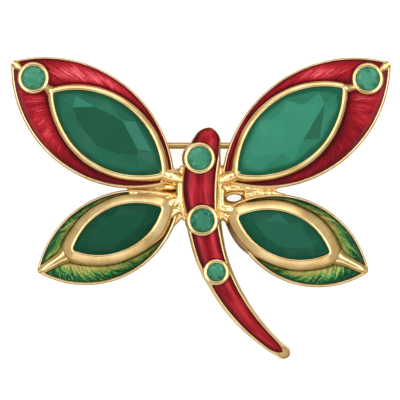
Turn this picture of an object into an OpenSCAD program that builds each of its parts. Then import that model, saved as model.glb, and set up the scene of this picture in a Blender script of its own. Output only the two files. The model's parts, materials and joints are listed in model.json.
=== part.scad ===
// Insect brooch lying face up: gilt metal frame with leaf-shaped wings, enamel cells and bezel-set stones,
// and a hinged pin on its back. Millimetres. X runs across the wings, Y from the tail to the head,
// Z out of the brooch's face. The surface that it lies on is z = 0.

/* [Upper wings] */
// Length of an upper wing from its root to its tip
upper_length = 24.6; // [22:0.1:28]
// How far the front edge bulges from the line between root and tip
upper_front_bulge = 5.9; // [5.5:0.1:7]
// How far the rear edge bulges from that line
upper_rear_bulge = 6.5; // [6:0.1:7.5]
// Width of the metal rim along the front edge
upper_front_rim = 0.32; // [0.25:0.01:0.5]
// Width of the metal rim along the rear edge
upper_rear_rim = 0.46; // [0.3:0.01:0.6]

/* [Lower wings] */
// Length of a lower wing from its root to its tip
lower_length = 19.1; // [17:0.1:22]
// How far the front edge bulges from the line between root and tip
lower_front_bulge = 4.8; // [4.5:0.1:6]
// How far the rear edge bulges from that line
lower_rear_bulge = 5.3; // [5:0.1:6.5]
// Width of the metal rim along the front edge
lower_front_rim = 0.34; // [0.25:0.01:0.5]
// Width of the metal rim along the rear edge
lower_rear_rim = 0.46; // [0.3:0.01:0.6]

/* [Wing metal] */
// Thickness of the plate under the enamel
plate_thickness = 0.8; // [0.6:0.05:1.2]
// Depth of the enamel cells, from the top of the rims to the plate
cell_depth = 0.7; // [0.5:0.05:1]
// Radius of the rounded wing tips
tip_radius = 0.35; // [0.2:0.05:0.5]
// Width of the bars from the upper wings' tips to their round bezels
tip_bar = 0.5; // [0.4:0.05:0.8]
// Width of the bars from the marquise bezels' outer ends towards the wing tips
end_bar = 0.7; // [0.5:0.05:0.9]
// Width of the bars from the marquise bezels' inner ends to the body
root_bar = 1.5; // [1.2:0.05:1.8]
// Distance from a wing's root to the near end of its enamel cells
cell_near = 1.5; // [1.2:0.1:2]
// The same for the front cells of the lower wings, which the web between the wings shortens
short_cell_near = 5; // [4:0.1:6]
// Thickness of the web between the wings
web_thickness = 1.1; // [0.8:0.05:1.4]
// Length of the pierced hole in the web
web_hole_length = 2; // [1.5:0.1:2.4]
// Width of the pierced hole in the web
web_hole_width = 0.8; // [0.5:0.05:1]

/* [Stones] */
// Length of a large marquise stone
large_stone_length = 16.3; // [15:0.1:16.8]
// Width of a large marquise stone
large_stone_width = 7.9; // [7:0.1:8.4]
// Depth of a large marquise stone below its girdle
large_pavilion = 1.85; // [1.5:0.05:2]
// Length of a small marquise stone
small_stone_length = 12.3; // [11:0.1:12.6]
// Width of a small marquise stone
small_stone_width = 5.7; // [5:0.1:6]
// Depth of a small marquise stone below its girdle
small_pavilion = 1.6; // [1.3:0.05:1.8]
// Height of a marquise stone's table above its girdle
marquise_crown = 1.05; // [0.8:0.05:1.4]
// Diameter of the round stones on the wing tips, head and thorax
round_stone = 3; // [2.6:0.1:3.2]
// Diameter of the round stone on the abdomen
small_round_stone = 2.3; // [2:0.1:2.6]
// Depth of a round stone below its girdle
round_pavilion = 0.95; // [0.8:0.05:1]
// Height of a round stone's table above its girdle
round_crown = 0.5; // [0.4:0.05:0.7]
// Thickness of a stone's edge, its girdle
girdle = 0.15; // [0.1:0.05:0.25]

/* [Bezels] */
// Wall around a large marquise stone, at its top
large_bezel_wall = 0.42; // [0.35:0.01:0.7]
// How much wider a large stone's bezel is at the plate than at its top
large_bezel_flare = 0.2; // [0.1:0.01:0.3]
// Wall around a small marquise stone, at its top
small_bezel_wall = 0.45; // [0.4:0.01:0.8]
// How much wider a small stone's bezel is at the plate than at its top
small_bezel_flare = 0.32; // [0.2:0.01:0.6]
// Radius of the blunt ends of a large stone's bezel
large_bezel_end = 1.6; // [0.5:0.1:2]
// Radius of the blunt ends of a small stone's bezel
small_bezel_end = 1.2; // [0.3:0.1:1.6]
// Wall around a round stone
round_bezel_wall = 0.4; // [0.3:0.01:0.5]
// How far a bezel's lip reaches over the stone
lip = 0.12; // [0.08:0.01:0.16]
// Thickness of a bezel's lip
lip_thickness = 0.25; // [0.2:0.01:0.35]
// Height of the marquise bezels above the back of the plate
marquise_bezel_height = 2.6; // [2.55:0.05:3]
// Height of the wing-tip bezels above the back of the plate
round_bezel_height = 2.25; // [2.2:0.05:2.6]
// Width of the ledge under a marquise stone
ledge = 0.6; // [0.4:0.05:0.8]
// Width of the ledge under a round stone
round_ledge = 0.35; // [0.25:0.05:0.45]

/* [Body] */
// Distance of the head's top from the middle of the brooch
head_y = 9.8; // [9:0.1:11]
// Length of the body from head to tail, along Y
body_length = 27.75; // [26:0.05:30]
// How far the tail's end swings to the right
tail_sweep = 10.75; // [9:0.05:12]
// Greatest width of the body
body_width = 4.8; // [4.6:0.1:5.2]
// Thickness of the body's metal
body_thickness = 2.1; // [1.9:0.05:2.4]
// Width of the rims along the tail
body_rim = 0.5; // [0.4:0.01:0.6]
// Depth of the body's enamel cell
body_cell_depth = 0.6; // [0.4:0.05:0.8]
// Height of the enamel's crown above the body's rims
enamel_crown = 0.4; // [0.2:0.05:0.6]
// Height of the body's bezels above its rims
body_bezel_rise = 0.8; // [0.6:0.05:1]

/* [Pin and findings] */
// Height of the plates' back above the surface that the brooch lies on
back_height = 3.6; // [3.4:0.05:4.2]
// Distance of the pin from the middle of the brooch, towards the head
pin_y = 7.68; // [7:0.02:8.2]
// Distance of the hinge and of the catch from the middle line
finding_x = 16.75; // [16.6:0.05:17]
// Diameter of the pin's wire
wire = 0.78; // [0.6:0.02:0.84]
// Radius of the hinge ears and of the catch
finding_radius = 1.15; // [1.05:0.01:1.25]
// Thickness of one hinge ear
ear_thickness = 0.6; // [0.5:0.05:0.7]
// Thickness of the feet of the hinge and the catch, on the plates' back
foot_thickness = 0.4; // [0.3:0.05:0.5]
// Length of the pin's eye between the ears
eye_length = 1.1; // [0.9:0.05:1.3]
// Diameter of the pin's shoulder, between its eye and the wire
shoulder = 1.2; // [1:0.05:1.4]
// Distance from the hinge's axis to the end of the shoulder
shoulder_reach = 1.45; // [1.3:0.05:2]
// Length of the pin's tapered end
taper = 3; // [2.7:0.1:5]
// Diameter of the pin's blunted point
point = 0.12; // [0.08:0.02:0.2]
// Diameter of the hinge rivet
rivet = 0.7; // [0.6:0.02:0.8]
// Length of the catch along the pin
catch_length = 1.6; // [1.2:0.1:2]
// How far the pin's point stands out of the catch
point_reach = 0.9; // [0.5:0.1:1.4]

/* [Clearances] */
// Gap between a cell's walls and its enamel, and between a stone and its seat
seat_gap = 0.05; // [0.03:0.01:0.08]
// Radial play of the pin's eye on the rivet
hinge_play = 0.04; // [0.02:0.01:0.08]
// Gap on each side of the eye, between the ears
eye_gap = 0.06; // [0.03:0.01:0.1]
// Room on each side of the wire in the catch
catch_play = 0.12; // [0.1:0.01:0.2]

/* [Hidden] */
$fn = 72;
over = 0.3;
gilt = "gold";
red = "crimson";
green = "darkgreen";
onyx = "seagreen";

rim_top = plate_thickness + cell_depth;
pin_z = finding_radius;
ear_y = eye_length / 2 + eye_gap + ear_thickness / 2;

// Columns of a wing's row: side, root x, root y, turn of the root-to-tip line, length, and the marquise
// stone's place along and across that line and its turn. Lengths are shares of the wing's named length.
SIDE = 0;
ROOT_X = 1;
ROOT_Y = 2;
TURN = 3;
LENGTH = 4;
STONE_ALONG = 5;
STONE_ACROSS = 6;
STONE_TURN = 7;
UPPER_LEFT = [-1, 3.12, 3.32, 36.2, 0.992, 0.408, -0.003, 0];
UPPER_RIGHT = [1, 2.47, 3.38, 34.9, 1.01, 0.410, 0.008, 4.2];
LOWER_LEFT = [-1, 2.4, 1.1, -26.6, 1.015, 0.430, 0.016, 1.3];
LOWER_RIGHT = [1, 3.25, 0.3, -24.9, 0.98, 0.4, -0.013, 3.3];

// Where a wing-tip bezel's middle lies, as a share of the wing's length
tip_stone_along = 0.86;

// The web on each side: its outer end, then where it meets the body above and below
WEB_LEFT = [[-8.9, 2.43], [-2.3, 5.3], [-1.6, -1.1]];
WEB_RIGHT = [[9.3, 2.1], [2.2, 5.2], [2.2, -1.6]];
WEB_HOLE = [4.0, 1.34];
web_hole_turn = 5;

// Sections of the body from head to tail. Columns: x as a share of the tail's sweep, distance from the
// head as a share of the body's length, then width, thickness and drop as shares of the body's, and the
// left and right rims as shares of the tail's rims.
MIDDLE_X = 0;
ALONG = 1;
WIDTH = 2;
THICKNESS = 3;
DROP = 4;
LEFT_RIM = 5;
RIGHT_RIM = 6;
BODY = [
    [0.118, 0.000, 0.50, 0.85, 0.000, 0.5, 0.5],
    [0.080, 0.048, 0.67, 0.95, 0.000, 0.5, 0.5],
    [0.034, 0.112, 0.85, 1.00, 0.000, 0.6, 0.7],
    [0.009, 0.200, 0.97, 1.00, 0.000, 0.6, 1.4],
    [0.005, 0.280, 1.00, 1.00, 0.000, 0.6, 1.7],
    [0.020, 0.368, 0.90, 1.00, 0.000, 0.7, 1.4],
    [0.052, 0.458, 0.86, 1.00, 0.000, 0.9, 1.1],
    [0.116, 0.562, 0.81, 0.98, 0.015, 1.0, 1.0],
    [0.228, 0.663, 0.73, 0.94, 0.090, 1.0, 1.0],
    [0.379, 0.763, 0.66, 0.88, 0.240, 1.0, 1.0],
    [0.578, 0.860, 0.545, 0.80, 0.470, 0.9, 0.9],
    [0.810, 0.946, 0.42, 0.72, 0.750, 0.8, 0.8],
    [1.000, 0.998, 0.33, 0.66, 1.000, 0.8, 0.8]
];
last = len(BODY) - 1;
head_round = 1.3;
tail_round = 0.6;
cell_head_round = 1.1;
cell_tail_round = 0.5;

// Stones down the body: x as a share of the tail's sweep, distance from the head as a share of the body's
// length, diameter, drop as a share of the tail's
HEAD_STONE = [-0.015, 0.134, round_stone, 0];
THORAX_STONE = [0.018, 0.402, round_stone, 0];
ABDOMEN_STONE = [0.172, 0.625, small_round_stone, 0.05];
BODY_STONES = [HEAD_STONE, THORAX_STONE, ABDOMEN_STONE];

// The body's enamel cell begins and ends this far along the sections, and the stones part it at these
cell_start = 0.18;
cell_end = 11.6;
head_split = 2.25;
thorax_split = 5.38;
abdomen_split = 7.62;

// Radius of an arc over a chord, from the chord's length and the arc's bulge
function arc_radius(length, bulge) = (length * length / 4 + bulge * bulge) / (2 * bulge);

// Middle of the circle that rounds the far end of a two-arc leaf
function end_middle(length, front, rear, grow_front, grow_rear, r) =
    let (
        front_y = front - arc_radius(length, front),
        rear_y = arc_radius(length, rear) - rear,
        a = arc_radius(length, front) + grow_front - r,
        b = arc_radius(length, rear) + grow_rear - r,
        d = rear_y - front_y,
        h = (d * d + a * a - b * b) / (2 * d)
    )
    [length / 2 + sqrt(a * a - h * h), front_y + h];

// Corner that is left over when the far end of a leaf is rounded
module end_corner(length, front, rear, grow_front, grow_rear, r) {
    middle = end_middle(length, front, rear, grow_front, grow_rear, r);
    front_way = middle - [length / 2, front - arc_radius(length, front)];
    rear_way = middle - [length / 2, arc_radius(length, rear) - rear];
    difference() {
        polygon([
            middle,
            middle + 4 * r * front_way / norm(front_way),
            middle + 4 * r * rear_way / norm(rear_way)
        ]);
        translate(middle) circle(r);
    }
}

// Leaf between two arcs, from the origin along X, each arc moved out by its growth
module leaf(length, front, rear, grow_front = 0, grow_rear = 0, far_round = 0, near_round = 0) {
    difference() {
        intersection() {
            translate([length / 2, front - arc_radius(length, front)])
                circle(arc_radius(length, front) + grow_front);
            translate([length / 2, arc_radius(length, rear) - rear])
                circle(arc_radius(length, rear) + grow_rear);
        }
        if (far_round > 0)
            end_corner(length, front, rear, grow_front, grow_rear, far_round);
        if (near_round > 0)
            translate([length, 0]) mirror([1, 0])
                end_corner(length, front, rear, grow_front, grow_rear, near_round);
    }
}

// Marquise outline about the origin, grown on every side
module marquise(length, width, grow = 0, end_round = 0) {
    translate([-length / 2, 0])
        leaf(length, width / 2, width / 2, grow, grow, end_round, end_round);
}

// Straight bar between two points
module bar(a, b, width) {
    translate(a)
        rotate(atan2(b.y - a.y, b.x - a.x))
            translate([0, -width / 2]) square([norm(b - a), width]);
}

// Point on a marquise outline, a share of the way round it from its outer end
function marquise_point(share, length, width) =
    let (
        r = arc_radius(length, width / 2),
        half = acos((r - width / 2) / r),
        lower = share > 0.5,
        turn = half * (1 - 4 * (lower ? share - 0.5 : share)),
        x = (lower ? -1 : 1) * r * sin(turn),
        y = r * cos(turn) - (r - width / 2)
    )
    [x, lower ? -y : y];

// Flat many-sided layer of a cut stone
module stone_layer(length, width, z, height, sides, start = 0) {
    translate([0, 0, z])
        linear_extrude(height)
            polygon([
                for (i = [0:sides - 1])
                    let (share = (i + start) / sides) marquise_point(share, length, width)
            ]);
}

// Shares of a stone's crown, width and length at which the kite facets meet the star facets
star_height = 0.56;
star_width = 0.82;
star_length = 0.87;

// Width of a stone's keel, at the bottom of its pavilion, as a share of the stone's width
keel_width = 0.08;

// Cut stone with its girdle's underside at z = 0: table, star and kite facets, girdle and pavilion
module cut_stone(length, width, crown, pavilion, table_length, table_width, keel) {
    thin = 0.01;
    hull() {
        stone_layer(length * table_length, width * table_width, girdle + crown - thin, thin, 8);
        stone_layer(length * star_length, width * star_width, girdle + crown * star_height, thin, 8, 0.5);
        stone_layer(length, width, 0, girdle, 24);
        stone_layer(length * keel, width * keel_width, -pavilion, thin, 8);
    }
}

module marquise_stone(length, width, pavilion) {
    cut_stone(length, width, marquise_crown, pavilion, 0.67, 0.56, 0.4);
}

module round_cut_stone(diameter) {
    cut_stone(diameter, diameter, round_crown, round_pavilion, 0.58, 0.58, 0.08);
}

// Room between a stone's girdle and the lip above it, since the crown rises under the lip
function lip_room(width, crown) = seat_gap + lip * crown * star_height / (width / 2 * (1 - star_width));

// Height of a stone's girdle underside in a bezel of a given height
function girdle_z(bezel_height, width, crown) =
    bezel_height - lip_thickness - lip_room(width, crown) - girdle;

// Height of the ledge that carries the slanting underside of a stone
function ledge_z(bezel_height, width, crown, pavilion, shelf) =
    girdle_z(bezel_height, width, crown) - pavilion * shelf / (width / 2 * (1 - keel_width)) - seat_gap;

// Marquise bezel, wider at its foot
module marquise_bezel(length, width, wall, flare, end_round) {
    r = arc_radius(length, width / 2);
    outer = seat_gap + wall;
    intersection() {
        linear_extrude(marquise_bezel_height)
            marquise(length, width, outer + flare, end_round);
        translate([0, width / 2 - r, 0])
            cylinder(h = marquise_bezel_height, r1 = r + outer + flare, r2 = r + outer, $fn = 144);
        translate([0, r - width / 2, 0])
            cylinder(h = marquise_bezel_height, r1 = r + outer + flare, r2 = r + outer, $fn = 144);
    }
}

// Space that a marquise stone and the open window behind it take out of the metal
module marquise_well(length, width, pavilion) {
    seat = ledge_z(marquise_bezel_height, width, marquise_crown, pavilion, ledge);
    top = marquise_bezel_height - lip_thickness;
    translate([0, 0, -over])
        linear_extrude(marquise_bezel_height) marquise(length, width, -ledge);
    translate([0, 0, seat])
        linear_extrude(top - seat) marquise(length, width, seat_gap);
    translate([0, 0, top - over])
        linear_extrude(lip_thickness + 2 * over) marquise(length, width, -lip);
}

// Space that a round stone takes, closed at the back
module round_well(diameter, bezel_height) {
    seat = ledge_z(bezel_height, diameter, round_crown, round_pavilion, round_ledge);
    top = bezel_height - lip_thickness;
    floor_z = girdle_z(bezel_height, diameter, round_crown) - round_pavilion - 2 * seat_gap;
    translate([0, 0, floor_z])
        cylinder(h = bezel_height - floor_z, r = diameter / 2 - round_ledge);
    translate([0, 0, seat])
        cylinder(h = top - seat, r = diameter / 2 + seat_gap);
    translate([0, 0, top - over])
        cylinder(h = lip_thickness + 2 * over, r = diameter / 2 - lip);
}

function bezel_radius(diameter) = diameter / 2 + seat_gap + round_bezel_wall;

// Places its children in the frame of one wing, with the root at the origin and the tip along X
module on_wing(row, height = 0) {
    translate([row[SIDE] * row[ROOT_X], row[ROOT_Y], back_height + height])
        mirror([row[SIDE] < 0 ? 1 : 0, 0, 0])
            rotate(row[TURN]) children();
}

// Places its children at a wing's marquise stone
module at_stone(row, length) {
    translate([row[STONE_ALONG] * length, row[STONE_ACROSS] * length, 0])
        rotate(row[STONE_TURN]) children();
}

// End of a marquise stone in its wing's frame, outer (1) or inner (-1)
function stone_end(row, length, stone_length, end) = [
    row[STONE_ALONG] * length + end * stone_length / 2 * cos(row[STONE_TURN]),
    row[STONE_ACROSS] * length + end * stone_length / 2 * sin(row[STONE_TURN])
];

// Raised metal in a wing apart from its rim: bars and bezel feet, wider by a gap where enamel is cut back
module upper_ribs(row, gap = 0) {
    length = upper_length * row[LENGTH];
    round_at = [tip_stone_along * length, 0];
    bar([0, 0], stone_end(row, length, large_stone_length, -1), root_bar + 2 * gap);
    bar(stone_end(row, length, large_stone_length, 1), round_at, end_bar + 2 * gap);
    bar(round_at, [length, 0], tip_bar + 2 * gap);
    translate(round_at) circle(bezel_radius(round_stone) + gap);
    at_stone(row, length)
        marquise(large_stone_length, large_stone_width,
            seat_gap + large_bezel_wall + large_bezel_flare + gap, large_bezel_end + gap);
}

module lower_ribs(row, gap = 0) {
    length = lower_length * row[LENGTH];
    bar([0, 0], stone_end(row, length, small_stone_length, -1), root_bar + 2 * gap);
    bar(stone_end(row, length, small_stone_length, 1), [length, 0], end_bar + 2 * gap);
    at_stone(row, length)
        marquise(small_stone_length, small_stone_width,
            seat_gap + small_bezel_wall + small_bezel_flare + gap, small_bezel_end + gap);
}

// Half of a wing's plane on one side of its ribs: front (1) or rear (-1)
module wing_half(row, length, stone_length, half) {
    far = 2 * length;
    polygon([
        [0, 0],
        stone_end(row, length, stone_length, -1),
        stone_end(row, length, stone_length, 1),
        [length, 0],
        [far, half * far],
        [0, half * far]
    ]);
}

// One enamel cell, cut back from its walls by a gap
module upper_cell(row, half, gap = 0) {
    length = upper_length * row[LENGTH];
    difference() {
        intersection() {
            leaf(length, upper_front_bulge, upper_rear_bulge,
                -upper_front_rim - gap, -upper_rear_rim - gap);
            wing_half(row, length, large_stone_length, half);
        }
        upper_ribs(row, gap);
        circle(cell_near + gap);
    }
}

module lower_cell(row, half, gap = 0) {
    length = lower_length * row[LENGTH];
    difference() {
        intersection() {
            leaf(length, lower_front_bulge, lower_rear_bulge,
                -lower_front_rim - gap, -lower_rear_rim - gap);
            wing_half(row, length, small_stone_length, half);
        }
        lower_ribs(row, gap);
        circle((half > 0 ? short_cell_near : cell_near) + gap);
    }
}

// Solid wing outlines, up to the top of their rims
module wing_plates() {
    for (row = [UPPER_LEFT, UPPER_RIGHT])
        on_wing(row)
            linear_extrude(rim_top)
                leaf(upper_length * row[LENGTH], upper_front_bulge, upper_rear_bulge, 0, 0, tip_radius);
    for (row = [LOWER_LEFT, LOWER_RIGHT])
        on_wing(row)
            linear_extrude(rim_top)
                leaf(lower_length * row[LENGTH], lower_front_bulge, lower_rear_bulge, 0, 0, tip_radius);
}

// Everything that the wings' enamel cells take out of the metal
module wing_cells() {
    for (half = [-1, 1]) {
        for (row = [UPPER_LEFT, UPPER_RIGHT])
            on_wing(row, plate_thickness) linear_extrude(cell_depth + over) upper_cell(row, half);
        for (row = [LOWER_LEFT, LOWER_RIGHT])
            on_wing(row, plate_thickness) linear_extrude(cell_depth + over) lower_cell(row, half);
    }
}

module wing_bezels() {
    for (row = [UPPER_LEFT, UPPER_RIGHT])
        on_wing(row) {
            at_stone(row, upper_length * row[LENGTH])
                marquise_bezel(large_stone_length, large_stone_width, large_bezel_wall,
                    large_bezel_flare, large_bezel_end);
            translate([tip_stone_along * upper_length * row[LENGTH], 0, 0])
                cylinder(h = round_bezel_height, r = bezel_radius(round_stone));
        }
    for (row = [LOWER_LEFT, LOWER_RIGHT])
        on_wing(row)
            at_stone(row, lower_length * row[LENGTH])
                marquise_bezel(small_stone_length, small_stone_width, small_bezel_wall,
                    small_bezel_flare, small_bezel_end);
}

// Everything that the wings' stones take out of the metal
module wing_wells() {
    for (row = [UPPER_LEFT, UPPER_RIGHT])
        on_wing(row) {
            at_stone(row, upper_length * row[LENGTH])
                marquise_well(large_stone_length, large_stone_width, large_pavilion);
            translate([tip_stone_along * upper_length * row[LENGTH], 0, 0])
                round_well(round_stone, round_bezel_height);
        }
    for (row = [LOWER_LEFT, LOWER_RIGHT])
        on_wing(row)
            at_stone(row, lower_length * row[LENGTH])
                marquise_well(small_stone_length, small_stone_width, small_pavilion);
}

module web() {
    translate([0, 0, back_height])
        linear_extrude(web_thickness) {
            polygon(WEB_LEFT);
            polygon(WEB_RIGHT);
        }
}

module web_hole() {
    straight = web_hole_length - web_hole_width;
    translate([WEB_HOLE.x, WEB_HOLE.y, back_height - over])
        rotate(web_hole_turn)
            linear_extrude(body_thickness + 2 * over) {
                square([straight, web_hole_width], center = true);
                translate([straight / 2, 0]) circle(d = web_hole_width);
                translate([-straight / 2, 0]) circle(d = web_hole_width);
            }
}

// Smooth curve through four neighbouring rows, a share of the way from the second to the third
function between(a, b, c, d, t) =
    (2 * b + (c - a) * t + (2 * a - 5 * b + 4 * c - d) * t * t + (3 * b - 3 * c + d - a) * t * t * t) / 2;

function body_row(i) = BODY[max(0, min(last, i))];

// Row of the body's table at any place along it
function body_at(t) =
    let (i = min(floor(t), last - 1))
    between(body_row(i - 1), body_row(i), body_row(i + 1), body_row(i + 2), t - i);

// Place on the brooch's plane of a share pair from the body's table
function body_place(row) = [row[MIDDLE_X] * tail_sweep, head_y - row[ALONG] * body_length];

function body_point(t) = body_place(body_at(t));

function body_way(t) =
    let (way = body_point(min(t + 0.05, last)) - body_point(max(t - 0.05, 0)))
    way / norm(way);

function body_half(t) = body_at(t)[WIDTH] * body_width / 2;

function body_height(t) = body_at(t)[THICKNESS] * body_thickness;

function body_base(t) = back_height * (1 - body_at(t)[DROP]);

// Share of the full width near a rounded end, at a distance from it
function rounding(distance, r) = distance >= r ? 1 : sqrt(1 - pow(1 - max(distance, 0.04) / r, 2));

// Share of the full width at t, on a strip that runs from one place to another
function strip_round(t, from, to, r_from, r_to) =
    rounding(norm(body_point(t) - body_point(from)), r_from)
    * rounding(norm(body_point(to) - body_point(t)), r_to);

// Places along the body where a strip has its rings, closer together at its ends
function ring_places(from, to) = concat(
    [for (d = [0, 0.07, 0.2, 0.4]) from + d],
    [for (t = [ceil((from + 0.5) * 2) / 2:0.5:to - 0.35]) t],
    [for (d = [0.28, 0.14, 0.05, 0]) to - d]
);

// One ring of a strip: its section's points, given as shares across and heights, set square to the body
function ring(t, section) =
    let (way = body_way(t), at = body_point(t), base = body_base(t))
    [for (p = section) [at.x - p[0] * way.y, at.y + p[0] * way.x, base + p[1]]];

// Solid that joins the rings
module sweep(rings) {
    sides = len(rings[0]);
    end = len(rings) - 1;
    polyhedron(
        points = [for (r = rings) for (p = r) p],
        faces = concat(
            [[for (i = [0:sides - 1]) i]],
            [for (k = [0:end - 1]) for (i = [0:sides - 1])
                let (a = k * sides + i, b = k * sides + (i + 1) % sides) [a, a + sides, b]],
            [for (k = [0:end - 1]) for (i = [0:sides - 1])
                let (a = k * sides + i, b = k * sides + (i + 1) % sides) [b, a + sides, b + sides]],
            [[for (i = [sides - 1:-1:0]) end * sides + i]]
        ),
        convexity = 6
    );
}

function metal_section(t) =
    let (
        w = body_half(t) * strip_round(t, 0, last, head_round, tail_round),
        h = body_height(t),
        side = min(0.2, w / 3)
    )
    [
        [w - side, 0], [w, 0.3 * h], [w, 0.8 * h], [w - side, h],
        [side - w, h], [-w, 0.8 * h], [-w, 0.3 * h], [side - w, 0]
    ];

module body_metal() {
    sweep([for (t = ring_places(0, last)) ring(t, metal_section(t))]);
}

// How far the enamel cell reaches to the left and right of the body's middle
function cell_reach(t, rim, gap) =
    (body_half(t) - body_at(t)[rim] * body_rim - gap)
    * strip_round(t, cell_start, cell_end, cell_head_round, cell_tail_round);

module body_cells() {
    sweep([
        for (t = ring_places(cell_start, cell_end))
            let (left = -cell_reach(t, LEFT_RIM, 0), right = cell_reach(t, RIGHT_RIM, 0), h = body_height(t))
            ring(t, [
                [right, h - body_cell_depth], [right, h + over],
                [left, h + over], [left, h - body_cell_depth]
            ])
    ]);
}

// Crowned enamel between two places along the body
module enamel_strip(from, to) {
    crown = enamel_crown + seat_gap;
    sweep([
        for (t = ring_places(from, to))
            let (
                left = -cell_reach(t, LEFT_RIM, seat_gap),
                right = cell_reach(t, RIGHT_RIM, seat_gap),
                middle = (left + right) / 2,
                half = (right - left) / 2,
                h = body_height(t),
                swell = crown * strip_round(t, cell_start, cell_end, cell_head_round, cell_tail_round)
            )
            ring(t, concat(
                [for (s = [1, 0.8, 0.5, 0, -0.5, -0.8, -1])
                    [middle + s * half, h - seat_gap + swell * (1 - s * s)]],
                [[left, h - body_cell_depth + seat_gap], [right, h - body_cell_depth + seat_gap]]
            ))
    ]);
}

module at_body_stone(row) {
    at = body_place(row);
    translate([at.x, at.y, back_height * (1 - row[3])]) children();
}

body_bezel_height = body_thickness + body_bezel_rise;

// Solid round column of a body bezel, and the same grown by the enamel's gap
module body_bezel(row, gap = 0) {
    at_body_stone(row)
        translate([0, 0, plate_thickness])
            cylinder(h = body_bezel_height - plate_thickness + gap, r = bezel_radius(row[2]) + gap);
}

module body_well(row) {
    at_body_stone(row) round_well(row[2], body_bezel_height);
}

// Round ear about the hinge's axis, with a leg up to the back of the plate
module hinge_ear() {
    translate([0, ear_thickness / 2, 0])
        rotate([90, 0, 0]) cylinder(h = ear_thickness, r = finding_radius);
    translate([-finding_radius, -ear_thickness / 2, 0])
        cube([2 * finding_radius, ear_thickness, back_height - pin_z]);
}

// Two ears on a foot, with one bore through both
module hinge_lug() {
    half_width = ear_y + ear_thickness / 2;
    color(gilt)
        translate([-finding_x, pin_y, pin_z])
            difference() {
                union() {
                    for (side = [-1, 1]) translate([0, side * ear_y, 0]) hinge_ear();
                    translate([-finding_radius, -half_width, back_height - pin_z - foot_thickness])
                        cube([2 * finding_radius, 2 * half_width, foot_thickness]);
                }
                translate([0, 2 * half_width, 0])
                    rotate([90, 0, 0]) cylinder(h = 4 * half_width, r = rivet / 2 + seat_gap / 2);
            }
}

// Ring about the closed pin, open downwards, on a neck and a foot
module catch() {
    room = wire / 2 + catch_play;
    color(gilt)
        translate([finding_x, pin_y, pin_z])
            difference() {
                translate([-catch_length / 2, 0, 0]) {
                    rotate([0, 90, 0]) cylinder(h = catch_length, r = finding_radius);
                    translate([0, -room, 0]) cube([catch_length, 2 * room, back_height - pin_z]);
                    translate([0, -finding_radius, back_height - pin_z - foot_thickness])
                        cube([catch_length, 2 * finding_radius, foot_thickness]);
                }
                translate([-catch_length, 0, 0]) {
                    rotate([0, 90, 0]) cylinder(h = 2 * catch_length, r = room);
                    translate([0, -room, -2 * finding_radius])
                        cube([2 * catch_length, 2 * room, 2 * finding_radius]);
                }
            }
}

module frame() {
    color(gilt)
        difference() {
            union() {
                difference() {
                    union() {
                        wing_plates();
                        web();
                    }
                    wing_cells();
                }
                wing_bezels();
                difference() {
                    body_metal();
                    body_cells();
                }
                for (row = BODY_STONES) body_bezel(row);
            }
            wing_wells();
            for (row = BODY_STONES) body_well(row);
            web_hole();
        }
}

module pin_stem() {
    eye = finding_radius - 0.2;
    reach = 2 * finding_x + catch_length / 2 + point_reach;
    color(gilt)
        translate([-finding_x, pin_y, pin_z])
            difference() {
                union() {
                    translate([0, eye_length / 2, 0])
                        rotate([90, 0, 0]) cylinder(h = eye_length, r = eye);
                    rotate([0, 90, 0]) cylinder(h = shoulder_reach, d = min(shoulder, eye_length));
                    rotate([0, 90, 0]) cylinder(h = reach - taper, d = wire);
                    translate([reach - taper, 0, 0])
                        rotate([0, 90, 0]) cylinder(h = taper, d1 = wire, d2 = point);
                }
                translate([0, eye_length, 0])
                    rotate([90, 0, 0]) cylinder(h = 2 * eye_length, r = rivet / 2 + hinge_play);
            }
}

module hinge_rivet() {
    shank = 2 * (ear_y + ear_thickness / 2 + seat_gap / 2);
    head = 0.22;
    color(gilt)
        translate([-finding_x, pin_y, pin_z])
            rotate([90, 0, 0]) {
                cylinder(h = shank, d = rivet, center = true);
                for (side = [-1, 1])
                    translate([0, 0, side * (shank + head) / 2])
                        cylinder(h = head, d = rivet + 0.5, center = true);
            }
}

module large_stone(row) {
    color(onyx)
        on_wing(row, girdle_z(marquise_bezel_height, large_stone_width, marquise_crown))
            at_stone(row, upper_length * row[LENGTH])
                marquise_stone(large_stone_length, large_stone_width, large_pavilion);
}

module small_stone(row) {
    color(onyx)
        on_wing(row, girdle_z(marquise_bezel_height, small_stone_width, marquise_crown))
            at_stone(row, lower_length * row[LENGTH])
                marquise_stone(small_stone_length, small_stone_width, small_pavilion);
}

module tip_stone(row) {
    color(onyx)
        on_wing(row, girdle_z(round_bezel_height, round_stone, round_crown))
            translate([tip_stone_along * upper_length * row[LENGTH], 0, 0])
                round_cut_stone(round_stone);
}

module body_stone(row) {
    color(onyx)
        at_body_stone(row)
            translate([0, 0, girdle_z(body_bezel_height, row[2], round_crown)]) round_cut_stone(row[2]);
}

module upper_enamel(row, half) {
    color(red)
        on_wing(row, plate_thickness + seat_gap)
            linear_extrude(cell_depth - seat_gap) upper_cell(row, half, seat_gap);
}

module lower_enamel(row, half) {
    color(green)
        on_wing(row, plate_thickness + seat_gap)
            linear_extrude(cell_depth - seat_gap) lower_cell(row, half, seat_gap);
}

module body_enamel(from, to) {
    color(red)
        difference() {
            enamel_strip(from, to);
            for (row = BODY_STONES) body_bezel(row, seat_gap);
        }
}

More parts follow.
